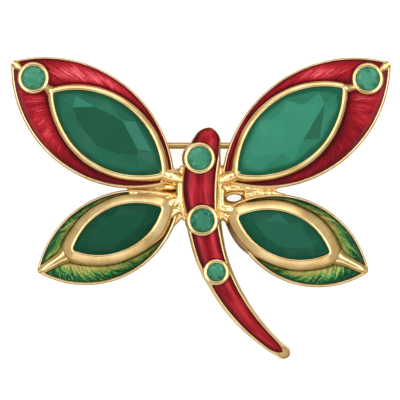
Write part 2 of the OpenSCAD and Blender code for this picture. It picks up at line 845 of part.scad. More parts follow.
frame();
hinge_lug();
catch();
pin_stem();
hinge_rivet();
large_stone(UPPER_LEFT);  // stone_upper_left
large_stone(UPPER_RIGHT);  // stone_upper_right
small_stone(LOWER_LEFT);  // stone_lower_left
small_stone(LOWER_RIGHT);  // stone_lower_right
tip_stone(UPPER_LEFT);  // round_stone_left
tip_stone(UPPER_RIGHT);  // round_stone_right
body_stone(HEAD_STONE);  // round_stone_head
body_stone(THORAX_STONE);  // round_stone_thorax
body_stone(ABDOMEN_STONE);  // round_stone_abdomen
upper_enamel(UPPER_LEFT, 1);  // enamel_upper_left_front
upper_enamel(UPPER_LEFT, -1);  // enamel_upper_left_rear
upper_enamel(UPPER_RIGHT, 1);  // enamel_upper_right_front
upper_enamel(UPPER_RIGHT, -1);  // enamel_upper_right_rear
lower_enamel(LOWER_LEFT, 1);  // enamel_lower_left_front
lower_enamel(LOWER_LEFT, -1);  // enamel_lower_left_rear
lower_enamel(LOWER_RIGHT, 1);  // enamel_lower_right_front
lower_enamel(LOWER_RIGHT, -1);  // enamel_lower_right_rear
body_enamel(cell_start, head_split);  // enamel_head
body_enamel(head_split, thorax_split);  // enamel_thorax
body_enamel(thorax_split, abdomen_split);  // enamel_abdomen
body_enamel(abdomen_split, cell_end);  // enamel_tail
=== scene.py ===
# %% [markdown]
# # Insect brooch with enamel wings and green stones
# The brooch is one flat casting in gilt metal. Its wings are shallow trays filled with glossy enamel, and
# green stones sit in raised settings on the wings and down the body. This lesson builds the looks around
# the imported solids, which already have the real sizes. Everything here is in metres, and in the same frame
# as the solids, so a piece goes straight to its place.

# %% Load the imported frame
import json
import math

import bmesh
import bpy
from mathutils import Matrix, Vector
from mathutils.bvhtree import BVHTree

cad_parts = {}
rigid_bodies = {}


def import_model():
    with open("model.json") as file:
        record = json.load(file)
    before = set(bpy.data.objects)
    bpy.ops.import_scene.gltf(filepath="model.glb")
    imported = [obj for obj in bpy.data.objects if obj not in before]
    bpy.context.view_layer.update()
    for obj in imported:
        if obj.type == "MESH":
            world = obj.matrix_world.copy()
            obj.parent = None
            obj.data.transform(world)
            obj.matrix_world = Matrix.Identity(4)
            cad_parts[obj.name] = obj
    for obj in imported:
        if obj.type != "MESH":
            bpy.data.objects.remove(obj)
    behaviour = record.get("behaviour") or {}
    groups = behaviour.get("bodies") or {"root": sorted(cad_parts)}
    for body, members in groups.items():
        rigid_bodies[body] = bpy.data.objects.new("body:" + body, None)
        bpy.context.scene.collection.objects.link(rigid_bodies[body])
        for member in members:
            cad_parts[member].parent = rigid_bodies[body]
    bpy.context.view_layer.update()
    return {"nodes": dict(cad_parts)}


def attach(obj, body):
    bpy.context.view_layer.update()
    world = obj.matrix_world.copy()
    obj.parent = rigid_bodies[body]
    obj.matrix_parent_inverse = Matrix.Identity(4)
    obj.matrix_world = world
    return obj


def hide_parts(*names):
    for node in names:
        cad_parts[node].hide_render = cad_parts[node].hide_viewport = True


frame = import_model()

# %% [markdown]
# ## Sizes of the wings
# A jeweller lays out each wing from two arcs that meet at its root and its tip. The same two arcs, moved in
# or out by a growth, give the rim, the tray and the edge of the enamel. Lengths are in millimetres, because
# that is how jewellery is measured, and become metres when a mesh is made.

# %% Sizes of the wings and stones, in millimetres
MM = 0.001
BACK = 3.6
TRAY_FLOOR, RIM_TOP = 0.8, 1.5
ENAMEL_FOOT, ENAMEL_TOP = 0.9, 1.3
UPPER = dict(front=5.9, rear=6.5, front_rim=0.32, rear_rim=0.46, stone=(16.3, 7.9))
LOWER = dict(front=4.8, rear=5.3, front_rim=0.34, rear_rim=0.46, stone=(12.3, 5.7))
WINGS = {
    "upper_left": dict(UPPER, side=-1, root=(3.12, 3.32), turn=36.2, length=24.40,
                       at=(0.408, -0.003), stone_turn=0.0),
    "upper_right": dict(UPPER, side=1, root=(2.47, 3.38), turn=34.9, length=24.85,
                        at=(0.410, 0.008), stone_turn=4.2),
    "lower_left": dict(LOWER, side=-1, root=(2.4, 1.1), turn=-26.6, length=19.39,
                       at=(0.430, 0.016), stone_turn=1.3),
    "lower_right": dict(LOWER, side=1, root=(3.25, 0.3), turn=-24.9, length=18.72,
                        at=(0.400, -0.013), stone_turn=3.3),
}
for name, wing in WINGS.items():
    print(name, "length", wing["length"], "stone", wing["stone"])

# %% [markdown]
# ## From a wing's own plane to the brooch
# Each wing is drawn lying along its own axis, root at the left and tip at the right. One short function
# turns a point of that drawing into its place on the brooch, and mirrors it for the left wings.

# %% Points and directions on a wing
EVEN_STEPS, CORNER_STEPS, CORNER_SPAN = 240, 16, math.radians(9)
LEAF_CORNER, STONE_CORNER = 70, 90


def turned(p, q, degrees):
    """A point turned about the origin."""
    t = math.radians(degrees)
    return p * math.cos(t) - q * math.sin(t), p * math.sin(t) + q * math.cos(t)


def stone_middle(wing):
    return wing["at"][0] * wing["length"], wing["at"][1] * wing["length"]


def on_wing(wing, u, v, z):
    """Place on the brooch, in metres, of a point along and across a wing and above its back."""
    x, y = turned(u, v, wing["turn"])
    return Vector((wing["side"] * (wing["root"][0] + x), wing["root"][1] + y, BACK + z)) * MM


def on_stone(wing, p, q, z):
    """The same for a point given along and across the wing's stone."""
    (u, v), (du, dv) = stone_middle(wing), turned(p, q, wing["stone_turn"])
    return on_wing(wing, u + du, v + dv, z)


def off_wing(wing, point):
    """The other way round: a place on the brooch, in metres, to a place along and across a wing's stone."""
    x, y = point.x / MM * wing["side"] - wing["root"][0], point.y / MM - wing["root"][1]
    (u, v), (middle_u, middle_v) = turned(x, y, -wing["turn"]), stone_middle(wing)
    return turned(u - middle_u, v - middle_v, -wing["stone_turn"])


def arc_radius(length, bulge):
    return (length * length / 4 + bulge * bulge) / (2 * bulge)


def circle_reach(x, y, dx, dy, cx, cy, r):
    """How far it is from a point inside a circle to the circle, along a direction."""
    b = (x - cx) * dx + (y - cy) * dy
    return -b + math.sqrt(b * b - (x - cx) ** 2 - (y - cy) ** 2 + r * r)


def soft_least(a, b, sharpness):
    """The lesser of two distances, with the corner between them slightly rounded."""
    return (a ** -sharpness + b ** -sharpness) ** (-1 / sharpness)


def leaf_reach(wing, angle, grow_front, grow_rear):
    """Distance from the middle of the stone to the wing's outline, at an angle to the stone."""
    length, front, rear = wing["length"], wing["front"], wing["rear"]
    a = angle + math.radians(wing["stone_turn"])
    ray = (*stone_middle(wing), math.cos(a), math.sin(a), length / 2)
    rf, rr = arc_radius(length, front), arc_radius(length, rear)
    return soft_least(circle_reach(*ray, front - rf, rf + grow_front),
                      circle_reach(*ray, rr - rear, rr + grow_rear), LEAF_CORNER)


def stone_reach(wing, angle, grow):
    """Distance from the middle of the stone to its outline, moved out by a growth."""
    length, width = wing["stone"]
    r = arc_radius(length, width / 2)
    ray = (0, 0, math.cos(angle), math.sin(angle), 0)
    return soft_least(circle_reach(*ray, width / 2 - r, r + grow),
                      circle_reach(*ray, r - width / 2, r + grow), STONE_CORNER)


def round_the_stone(wing):
    """Angles for one turn round the stone, closer together where the outlines have corners."""
    x, y = stone_middle(wing)
    turn = math.radians(wing["stone_turn"])
    corners = [0, math.pi, math.atan2(-y, wing["length"] - x) - turn, math.atan2(-y, -x) - turn]
    angles = {round(-math.pi + i * 2 * math.pi / EVEN_STEPS, 6) for i in range(EVEN_STEPS)}
    for corner in corners:
        for i in range(-CORNER_STEPS, CORNER_STEPS + 1):
            a = corner + CORNER_SPAN * (i / CORNER_STEPS) ** 3
            angles.add(round((a + math.pi) % (2 * math.pi) - math.pi, 6))
    return sorted(angles)


def oval(long, wide, count, start=0.0):
    """Points on an oval, or on a circle if it is as wide as long."""
    turns = [start + 2 * math.pi * i / count for i in range(count)]
    return [(long * math.cos(a), wide * math.sin(a)) for a in turns]


print("angles round each stone:", [len(round_the_stone(w)) for w in WINGS.values()])

# %% [markdown]
# ## Turning rings of points into a mesh
# Most of this brooch is made of rings: a short outline repeated along a path. One helper joins neighbouring
# rings with faces and closes the ends. Another merges doubled points and turns every face outwards, which
# the sign of the enclosed volume tells. Sharp edges are marked by angle, so polished curves stay smooth and
# corners stay crisp.

# %% Mesh helpers
def add_object(name, mesh):
    obj = bpy.data.objects.new(name, mesh)
    bpy.context.scene.collection.objects.link(obj)
    return obj


def mesh_of(name, bm):
    mesh = bpy.data.meshes.new(name)
    bm.to_mesh(mesh)
    bm.free()
    return mesh


def finish_mesh(name, bm, material, sharp=35.0):
    bmesh.ops.remove_doubles(bm, verts=bm.verts, dist=1e-7)
    bmesh.ops.recalc_face_normals(bm, faces=bm.faces)
    if bm.calc_volume(signed=True) < 0:
        bmesh.ops.reverse_faces(bm, faces=bm.faces)
    mesh = mesh_of(name, bm)
    mesh.polygons.foreach_set("use_smooth", [True] * len(mesh.polygons))
    mesh.set_sharp_from_angle(angle=math.radians(sharp))
    mesh.materials.append(material)
    return add_object(name, mesh)


def add_rings(bm, rings, loop, uv=None):
    """Joins rings of points. A loop's last ring joins its first, and otherwise both ends are closed."""
    made = [[bm.verts.new(p) for p in ring] for ring in rings]
    sides = len(rings[0])
    layer = bm.loops.layers.uv.verify() if uv else None
    for i in range(len(rings) if loop else len(rings) - 1):
        a, b = made[i], made[(i + 1) % len(made)]
        for k in range(sides):
            m = (k + 1) % sides
            face = bm.faces.new((a[k], a[m], b[m], b[k]))
            if uv:
                u0, u1, v0, v1 = uv[0][i], uv[0][i + 1], uv[1][k], uv[1][m]
                for corner, place in zip(face.loops, ((u0, v0), (u0, v1), (u1, v1), (u1, v0))):
                    corner[layer].uv = place
    if not loop:
        bm.faces.new(list(reversed(made[0])))
        bm.faces.new(made[-1])


def modify(obj, kind, **settings):
    """Puts a modifier on an object and sets it."""
    modifier = obj.modifiers.new(kind.lower(), kind)
    for key, value in settings.items():
        setattr(modifier, key, value)
    return modifier


def keep_result(obj):
    """Makes what the modifiers show the object's own mesh, and takes them off."""
    shown = obj.evaluated_get(bpy.context.evaluated_depsgraph_get())
    mesh = bpy.data.meshes.new_from_object(shown)
    obj.modifiers.clear()
    obj.data = mesh


def ride_frame(obj, slot, *nodes):
    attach(obj, "brooch")
    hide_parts(*nodes)
    print(obj.name, "triangles", sum(len(p.vertices) - 2 for p in obj.data.polygons))


def spline(rows, i, t):
    """Row at a share of the way from row i to the next one, on a smooth curve through all the rows."""
    near = [rows[max(0, min(len(rows) - 1, i + k))] for k in (-1, 0, 1, 2)]
    return [(2 * b + (c - a) * t + (2 * a - 5 * b + 4 * c - d) * t * t + (3 * b - 3 * c + d - a) * t ** 3) / 2
            for a, b, c, d in zip(*near)]


# %% [markdown]
# ## Shared effects for the finishes
# Three effects come back in several materials. Cast metal is never quite even, so one group gives slow
# changes in polish and a faint skin. Enamel lies over a ground that was engraved with fine rays, so a second
# group gives the rays, following the wing, with soft clouds, fine grain and a painted highlight read from the
# mesh, which grows with the width of the field beside them. A third gives the clouds inside the green stones,
# and a painted shade just above their girdle. A group is worth having here because a mend to it reaches every
# material at once.

# %% Node helpers
def fill(made, feeds):
    """Feeds a node's inputs: with a link from another node's output, or with a plain value."""
    for label, value in feeds.items():
        if isinstance(value, bpy.types.NodeSocket):
            made.id_data.links.new(value, made.inputs[label])
        else:
            made.inputs[label].default_value = value


def node(tree, kind, feeds=None, **settings):
    """Adds a node, sets it and feeds its inputs."""
    made = tree.nodes.new(kind)
    for key, value in settings.items():
        setattr(made, key, value)
    fill(made, feeds or {})
    return made


def math_node(tree, operation, *values, clamp=False):
    made = node(tree, "ShaderNodeMath", dict(enumerate(values)), operation=operation, use_clamp=clamp)
    return made.outputs[0]


def noise(tree, vector, scale, detail=2.0, roughness=0.5, distortion=0.0):
    feeds = {"Vector": vector, "Scale": scale, "Detail": detail, "Roughness": roughness,
             "Distortion": distortion}
    return node(tree, "ShaderNodeTexNoise", feeds).outputs["Fac"]


def ramp(tree, fac, stops):
    made = node(tree, "ShaderNodeValToRGB", {0: fac})
    while len(made.color_ramp.elements) < len(stops):
        made.color_ramp.elements.new(0.5)
    for element, (place, colour) in zip(made.color_ramp.elements, stops):
        element.position = place
        element.color = (*colour, 1.0)
    return made.outputs[0]


def blend(tree, share, colour, other):
    """From a plain colour to another node's, by a share."""
    feeds = {"Factor": share, "A": (*colour, 1.0), "B": other}
    return node(tree, "ShaderNodeMix", feeds, data_type="RGBA").outputs["Result"]


def bump(tree, height, strength, distance):
    feeds = {"Height": height, "Strength": strength, "Distance": distance}
    return node(tree, "ShaderNodeBump", feeds).outputs[0]


def parts_of(tree, vector):
    return node(tree, "ShaderNodeSeparateXYZ", {0: vector}).outputs


def object_place(tree):
    return node(tree, "ShaderNodeTexCoord").outputs["Object"]


def mesh_value(tree, name):
    return node(tree, "ShaderNodeAttribute", attribute_name=name).outputs["Fac"]


def new_tree(name, kind, inputs, outputs):
    """New node tree. Each input and output has a name and a kind of socket."""
    tree = bpy.data.node_groups.new(name, kind)
    for way, sockets in (("INPUT", inputs), ("OUTPUT", outputs)):
        for label, socket in sockets.items():
            tree.interface.new_socket(label, in_out=way, socket_type="NodeSocket" + socket)
    return tree, tree.nodes.new("NodeGroupInput").outputs, tree.nodes.new("NodeGroupOutput")


def floats(*labels):
    return dict.fromkeys(labels, "Float")


# %% Shader groups
SHADE_HEIGHT = 0.6 * MM


def cast_metal_group():
    tree, given, out = new_tree("Cast metal", "ShaderNodeTree", floats("Skin size"),
                                floats("Tone", "Polish", "Height"))
    place = object_place(tree)
    slow = noise(tree, place, 420.0)
    scratch = node(tree, "ShaderNodeMapping",
                   {"Vector": place, "Scale": (1.0, 7.0, 1.0), "Rotation": (0.0, 0.0, 0.6)})
    lines = math_node(tree, "MULTIPLY", noise(tree, scratch.outputs[0], 3500.0), 0.15)
    skin_scale = math_node(tree, "DIVIDE", 2200.0, given["Skin size"])
    fill(out, {"Tone": slow, "Polish": math_node(tree, "MULTIPLY_ADD", slow, 0.85, lines),
               "Height": noise(tree, place, skin_scale, 4.0, 0.6, 0.4)})
    return tree


def engraved_rays_group():
    tree, given, out = new_tree("Engraved rays", "ShaderNodeTree", floats("Rays", "Waver", "Length", "Slant"),
                                floats("Rays", "Across", "Middle", "Clouds", "Field", "Grain"))
    uv = parts_of(tree, node(tree, "ShaderNodeUVMap").outputs[0])
    place = object_place(tree)
    slanted = math_node(tree, "MULTIPLY_ADD", uv["Y"], given["Slant"], uv["X"])
    along = math_node(tree, "MULTIPLY_ADD", noise(tree, place, 500.0), given["Waver"], slanted)
    stretched = math_node(tree, "MULTIPLY", uv["Y"], given["Length"])

    def rays(count):
        feeds = {"X": math_node(tree, "MULTIPLY", along, count), "Y": stretched}
        return noise(tree, node(tree, "ShaderNodeCombineXYZ", feeds).outputs[0], 1.0, 2.5, 0.55)

    fine = rays(given["Rays"])
    coarse = math_node(tree, "MULTIPLY", rays(math_node(tree, "MULTIPLY", given["Rays"], 0.32)), 0.4)
    rest = math_node(tree, "SUBTRACT", 4.0, math_node(tree, "MULTIPLY", uv["Y"], 4.0))
    # The value read from the mesh is a painted highlight.
    fill(out, {"Rays": math_node(tree, "MULTIPLY_ADD", fine, 0.6, coarse), "Across": uv["Y"],
               "Middle": math_node(tree, "MULTIPLY", uv["Y"], rest), "Clouds": noise(tree, place, 170.0),
               "Field": mesh_value(tree, "field"), "Grain": noise(tree, place, 3400.0, 2.0, 0.6, 0.6)})
    return tree


def stone_clouds_group():
    tree, given, out = new_tree("Stone clouds", "ShaderNodeTree", floats("Strength", "Girdle", "Edge shade"),
                                floats("Tone"))
    place = object_place(tree)
    clouds = math_node(tree, "SUBTRACT", noise(tree, place, 260.0, 3.0, 0.55, 0.8), 0.5)
    cloudy = math_node(tree, "MULTIPLY", clouds, given["Strength"])
    tone = math_node(tree, "ADD", mesh_value(tree, "facet"), cloudy)
    # Painted shade: the tone drops just above the girdle, where the setting's wall would shade the stone.
    above = math_node(tree, "SUBTRACT", parts_of(tree, place)["Z"], given["Girdle"])
    low = math_node(tree, "SUBTRACT", 1.0, math_node(tree, "DIVIDE", above, SHADE_HEIGHT), clamp=True)
    shade = math_node(tree, "MULTIPLY", math_node(tree, "POWER", low, 1.6), given["Edge shade"])
    fill(out, {"Tone": math_node(tree, "SUBTRACT", tone, shade)})
    return tree


CAST = cast_metal_group()
RAYS = engraved_rays_group()
CLOUDS = stone_clouds_group()
print("shader groups:", CAST.name, RAYS.name, CLOUDS.name)

# %% [markdown]
# ## Finishes
# Gilt metal is a plain metal shader whose colour and polish drift a little. The settings and the cast roots
# get a painted shade, a dull brown, in their low places and hollows. Enamel is
# harder: light goes through clear coloured glass, comes back off the engraved metal ground, and also glints
# on the glass itself. A tinted metallic base with a thin clear coat does both at once. The stones are milky,
# polished and faceted, so they get a soft body colour with a painted reflection that changes from facet to
# facet, under a glossy skin.

# %% Gilt metal
SKIN_DEPTH = 0.04 * MM
# The relief value on the cast roots sets how strongly their hollows get painted shade.
RELIEF_SHADE_GAIN = 7000.0
POLISH_SWING = 0.16


def principled(name):
    material = bpy.data.materials.new(name)
    material.use_nodes = True
    tree = material.node_tree
    return material, tree, tree.nodes["Principled BSDF"]


def gilt(name, light, deep, polish, skin, skin_size=1.0, painted_shade=None, low=0.0, high=1.0):
    """Gold between a light and a deep colour. With a painted shade colour, crevices and low places get a
    painted shade.
    """
    material, tree, shader = principled(name)
    cast = node(tree, "ShaderNodeGroup", {"Skin size": skin_size}, node_tree=CAST).outputs
    colour = ramp(tree, cast["Tone"], [(0.3, deep), (0.65, light)])
    # Painted shade: lower places, and on the roots the hollows, turn towards the dull brown painted shade
    # colour.
    if painted_shade:
        height = parts_of(tree, object_place(tree))["Z"]
        rise = math_node(tree, "MULTIPLY_ADD", height, 1 / (high - low), -low / (high - low))
        shade_share = math_node(tree, "MULTIPLY_ADD", mesh_value(tree, "relief"), RELIEF_SHADE_GAIN, rise, clamp=True)
        colour = blend(tree, shade_share, painted_shade, colour)
    fill(shader, {"Base Color": colour, "Metallic": 1.0,
                  "Roughness": math_node(tree, "MULTIPLY_ADD", cast["Polish"], POLISH_SWING, polish),
                  "Normal": bump(tree, cast["Height"], skin, SKIN_DEPTH)})
    return material


GILT = gilt("polished_gilt", (0.91, 0.70, 0.35), (0.76, 0.52, 0.21), 0.13, 0.12)
# The settings and the cast roots get a painted shade, dull brown, in their low places and hollows.
SETTING_GILT = gilt("setting_gilt", (0.91, 0.70, 0.355), (0.73, 0.49, 0.19), 0.13, 0.12,
                    painted_shade=(0.30, 0.13, 0.03), low=0.0047, high=0.0057)
# The rim's gilt is a little rougher, and its paler colour is a painted reflection of the white sheet.
RIM_GILT = gilt("rim_gilt", (0.88, 0.71, 0.45), (0.74, 0.53, 0.26), 0.20, 0.10)
ROUGH_GILT = gilt("cast_gilt", (0.98, 0.77, 0.40), (0.90, 0.61, 0.24), 0.16, 0.18, 1.6,
                  painted_shade=(0.34, 0.145, 0.032), low=0.0026, high=0.0048)
WIRE_GILT = gilt("wire_gilt", (0.76, 0.54, 0.23), (0.66, 0.43, 0.16), 0.2, 0.05)
print("gilts:", [m.name for m in (GILT, SETTING_GILT, RIM_GILT, ROUGH_GILT, WIRE_GILT)])

# %% Enamel
RAY_DEPTH = 0.1 * MM


def enamel(name, stops, shade, rays, mix, start, ray_height,
           ground=0.8, roughness=0.42, gloss=0.2, softness=0.04):
    """The mix says how much each value of the rays group counts, on top of a start; some are painted
    highlight and shade.
    """
    material, tree, shader = principled(name)
    ray = node(tree, "ShaderNodeGroup", rays, node_tree=RAYS).outputs
    value = start
    for label, share in mix.items():
        value = math_node(tree, "MULTIPLY_ADD", ray[label], share, value)
    # Painted shade: near the metal walls the colour turns to the dark shade colour.
    colour = blend(tree, mesh_value(tree, "edge"), shade, ramp(tree, value, stops))
    fill(shader, {"Base Color": colour, "Metallic": ground, "Roughness": roughness, "Specular IOR Level": 0.2,
                  "Coat Weight": gloss, "Coat Roughness": softness, "Coat IOR": 1.4,
                  "Normal": bump(tree, ray["Rays"], ray_height, RAY_DEPTH)})
    return material


# Red wing enamel: Middle and Across paint shade towards the bezel and the rim, the share read from the mesh
# is a painted highlight, and its shade colour is the painted shade at the metal walls.
RED = enamel(
    "red_wing_enamel", [(0.10, (0.10, 0.003, 0.008)), (0.40, (0.26, 0.006, 0.012)),
                        (0.64, (0.47, 0.018, 0.030)), (0.92, (0.95, 0.18, 0.22))],
    shade=(0.085, 0.003, 0.006), rays={"Rays": 62.0, "Length": 1.2, "Waver": 0.05, "Slant": 0.24},
    mix={"Clouds": 0.9, "Rays": 1.35, "Across": -0.12, "Middle": 0.44, "Field": 0.66, "Grain": 0.3},
    start=-1.55, ray_height=0.7)
# Body enamel: Middle and Across paint a highlight just right of the strip's middle and shade towards its
# edges, most on the left. Its shade colour is the painted shade at the metal.
RED_BODY = enamel(
    "red_body_enamel", [(0.15, (0.09, 0.002, 0.006)), (0.5, (0.26, 0.005, 0.011)),
                        (0.9, (0.50, 0.020, 0.034))],
    shade=(0.085, 0.003, 0.006), rays={"Rays": 0.9, "Length": 7.0, "Waver": 0.04, "Slant": 0.0},
    mix={"Clouds": 0.8, "Rays": 2.0, "Across": -0.24, "Middle": 0.5},
    start=-1.15, ray_height=0.25, ground=0.75, roughness=0.34, softness=0.12)
# Green wing enamel: its shade colour is the painted shade at the metal walls.
GREEN = enamel(
    "green_wing_enamel", [(0.06, (0.52, 0.39, 0.12)), (0.20, (0.26, 0.31, 0.072)),
                          (0.30, (0.17, 0.34, 0.070)), (0.41, (0.075, 0.30, 0.070)),
                          (0.54, (0.012, 0.115, 0.038)), (0.8, (0.004, 0.046, 0.016))],
    shade=(0.030, 0.040, 0.010), rays={"Rays": 50.0, "Length": 1.2, "Waver": 0.16, "Slant": 0.34},
    mix={"Clouds": 0.9, "Rays": 2.6, "Across": 0.84, "Grain": 1.0}, start=-2.27, ray_height=2.4, gloss=0.25)
print("enamels:", [m.name for m in (RED, RED_BODY, GREEN)])

# %% Stones
def stone_material(name, dark, light, clouds, girdle=0.0, edge_shade=0.0, skin=0.06):
    """Milky stone between a dark and a light tone, darker just above its girdle, where the wall shades it."""
    material, tree, shader = principled(name)
    feeds = {"Strength": clouds, "Girdle": girdle, "Edge shade": edge_shade}
    tone = node(tree, "ShaderNodeGroup", feeds, node_tree=CLOUDS).outputs["Tone"]
    fill(shader, {"Base Color": ramp(tree, tone, [(0.0, dark), (1.0, light)]), "Roughness": skin, "IOR": 1.54,
                  "Specular IOR Level": 0.05, "Subsurface Weight": 0.25, "Subsurface Scale": 0.0006,
                  "Subsurface Radius": (0.3, 1.0, 0.6)})
    return material


# The last number of a row is the strength of its painted shade above the girdle.
STONE_LOOKS = {wing: stone_material(*row) for wing, *row in (
    ("upper_left", "green_onyx_dark", (0.014, 0.092, 0.046), (0.036, 0.225, 0.150), 0.25, 0.0058, 1.1),
    ("upper_right", "green_onyx_light", (0.012, 0.115, 0.060), (0.066, 0.370, 0.245), 0.3, 0.0058, 1.3),
    ("lower_left", "deep_onyx_left", (0.007, 0.062, 0.031), (0.018, 0.125, 0.072), 0.25, 0.00576, 1.5),
    ("lower_right", "deep_onyx_right", (0.009, 0.082, 0.044), (0.028, 0.155, 0.100), 0.25, 0.00576, 1.3))}
PALE_STONE = stone_material("pale_round_stone", (0.018, 0.150, 0.085), (0.120, 0.420, 0.280), 1.3, skin=0.1)
print("finishes:", [m.name for m in bpy.data.materials if m.use_nodes])

# %% [markdown]
# ## Wing trays
# Each wing is a tray: a plate with a window under the stone, and a rounded rim round its edge. All of it is
# one ring of outlines round the stone. At each angle the outline goes from the window along the back, over a
# softened corner, up the outer wall, over the rim and back along the tray's floor.

# %% Build the wing trays
def tray_outline(wing, angle):
    window = stone_reach(wing, angle, -0.6)

    def edge(share, inset=0.0):
        return leaf_reach(wing, angle, -share * wing["front_rim"] - inset, -share * wing["rear_rim"] - inset)

    profile = [(window, 0.06), (window + 0.06, 0.0), (edge(0, 0.16), 0.0), (edge(0, 0.05), 0.04),
               (edge(0), 0.16), (edge(0), 1.14), (edge(0, 0.02), 1.24), (edge(0.13), 1.34), (edge(0.3), 1.44),
               (edge(0.5), 1.49), (edge(0.68), RIM_TOP), (edge(0.82), 1.45), (edge(0.9), 1.34),
               (edge(0.92), 1.1), (edge(0.92, 0.05), TRAY_FLOOR), (window + 0.06, TRAY_FLOOR),
               (window, TRAY_FLOOR - 0.06)]
    return [on_stone(wing, r * math.cos(angle), r * math.sin(angle), z) for r, z in profile]


for name, wing in WINGS.items():
    bm = bmesh.new()
    add_rings(bm, [tray_outline(wing, a) for a in round_the_stone(wing)], loop=True)
    ride_frame(finish_mesh("tray_" + name, bm, RIM_GILT), "gilt_metal", "frame")

# %% [markdown]
# ## Walls of the marquise settings
# Each marquise stone sits in a wall of metal that spreads outwards as it goes down, more on some sides than
# on others, as hand work does. The wall's section is four corners, out from the stone's outline and up from
# the wing's back. How far it spreads is a list of eight values round the stone. The enamel needs both first,
# because it ends at the wall.

# %% Section and spread of each wall
LEANS = {
    "upper_left": [0.20, 0.26, 0.20, 0.24, 0.34, 0.16, 0.16, 0.06],
    "upper_right": [0.20, 0.16, 0.16, 0.20, 0.34, 0.20, 0.22, 0.12],
    "lower_left": [0.40, 0.14, 0.02, 0.04, 0.35, 0.50, 0.22, 0.24],
    "lower_right": [0.40, 0.36, 0.20, 0.12, 0.30, 0.34, 0.18, 0.24],
}
SECTIONS = {
    "upper": dict(corners=[(0.50, 0.5), (0.46, 2.32), (-0.20, 2.68), (-0.20, 0.5)], top=2.68, round=0.35),
    "lower": dict(corners=[(0.86, 0.5), (0.76, 2.10), (-0.36, 2.84), (-0.36, 0.5)], top=2.84, round=0.55),
}


def round_table(values, angle):
    """Smooth value at an angle from a list of values spread evenly over one turn."""
    place = (angle / (2 * math.pi)) % 1 * len(values)
    i, s = int(place), place % 1
    s = s * s * (3 - 2 * s)
    return values[i % len(values)] * (1 - s) + values[(i + 1) % len(values)] * s


def spread_at(name, p, q):
    """How far a wall spreads for each step down, on the side where a point lies from the stone's middle."""
    return round_table(LEANS[name], math.atan2(2 * q, p))


def wall_reach(name, angle, z):
    """How far out of the stone's outline the wall stands at an angle and a height."""
    cut = SECTIONS[name[:5]]
    return cut["corners"][0][0] + spread_at(name, math.cos(angle), math.sin(angle)) * (cut["top"] - z)


print("wall of upper_left at the enamel, mm:",
      [round(wall_reach("upper_left", a, ENAMEL_TOP), 2) for a in (0, 1.6, 3.1, 4.7)])

# %% [markdown]
# ## Enamel in the wings
# The enamel of a wing is poured all round the stone's setting, and swells a little where the field is wide.
# It runs just under the rim and the wall, so that the metal's own edge draws the line between them. The mesh
# carries its own map, one turn round the stone by one step from the wall to the rim, and the engraved rays
# follow it. A value on the mesh is a painted highlight, brighter where the field is wide and towards the
# wing's front edge.

# %% Build the wing enamel
GLAZE_STEPS = 24
WIDE_FIELD = 3.0
UNDER_RIM, UNDER_WALL, NARROWEST = 0.1, 0.12, 0.2
SWELL_MOST, SWELL_SHARE = 0.14, 0.045
MAP_LENGTH = 10.0 * MM


def glaze(name, wing, material):
    shares = [0.5 - 0.5 * math.cos(math.pi * i / GLAZE_STEPS) for i in range(GLAZE_STEPS + 1)]
    rings, painted_highlights = [], []
    for a in round_the_stone(wing):
        growths = [UNDER_RIM - 0.9 * wing[rim] for rim in ("front_rim", "rear_rim")]
        outer = max(leaf_reach(wing, a, *growths), stone_reach(wing, a, 0.1) + NARROWEST)
        inner = stone_reach(wing, a, wall_reach(name, a, ENAMEL_TOP) - UNDER_WALL)
        inner = min(inner, outer - NARROWEST)
        width = outer - inner
        swell = min(SWELL_MOST, SWELL_SHARE * width)
        # Painted highlight: brighter in wide fields and towards the wing's front edge.
        painted_highlights.append((0.35 + 0.65 * min(1.0, width / WIDE_FIELD)) * (0.66 + 0.34 * math.sin(a + 0.35)))
        ring = [(inner + width * s, ENAMEL_TOP + swell * (1 - abs(2 * s - 1) ** 2.2)) for s in shares]
        ring += [(outer, ENAMEL_FOOT), (inner, ENAMEL_FOOT)]
        rings.append([on_stone(wing, r * math.cos(a), r * math.sin(a), z) for r, z in ring])
    bm = bmesh.new()
    turns = [0.0]
    for ring, following in zip(rings, rings[1:] + rings[:1]):
        step = (following[GLAZE_STEPS // 2] - ring[GLAZE_STEPS // 2]).length
        turns.append(turns[-1] + step / MAP_LENGTH)
    add_rings(bm, rings, loop=True, uv=(turns, shares + [1.0, 0.0]))
    field = bm.verts.layers.float.new("field")
    for number, vert in enumerate(bm.verts):
        vert[field] = painted_highlights[number // len(rings[0])]
    return finish_mesh("glaze_" + name, bm, material, 60)


for name, wing in WINGS.items():
    upper = name.startswith("upper")
    ride_frame(glaze(name, wing, RED if upper else GREEN), "red_enamel" if upper else "green_enamel",
               "enamel_" + name + "_front", "enamel_" + name + "_rear")

# %% [markdown]
# ## Settings
# A setting is a strip of metal bent round a stone, with its top edge pushed over it. That is a wall that
# follows a path, which is what Geometry Nodes do best: one tree sweeps a four-cornered section with rounded
# corners along any closed path, and serves the four pointed settings and the five round ones alike. Every
# point of the path carries a lean, which moves the wall outwards the more the lower it is.

# %% The tree that sweeps a setting's wall
CORNERS = ("Outer foot", "Outer top", "Inner top", "Inner foot")


def end_tree(tree, geometry, metal, out):
    """Makes real geometry of a tree's result and gives it its metal."""
    real = node(tree, "GeometryNodeRealizeInstances", {0: geometry})
    paint = node(tree, "GeometryNodeSetMaterial", {"Geometry": real.outputs[0], "Material": metal})
    fill(out, {"Geometry": paint.outputs[0]})


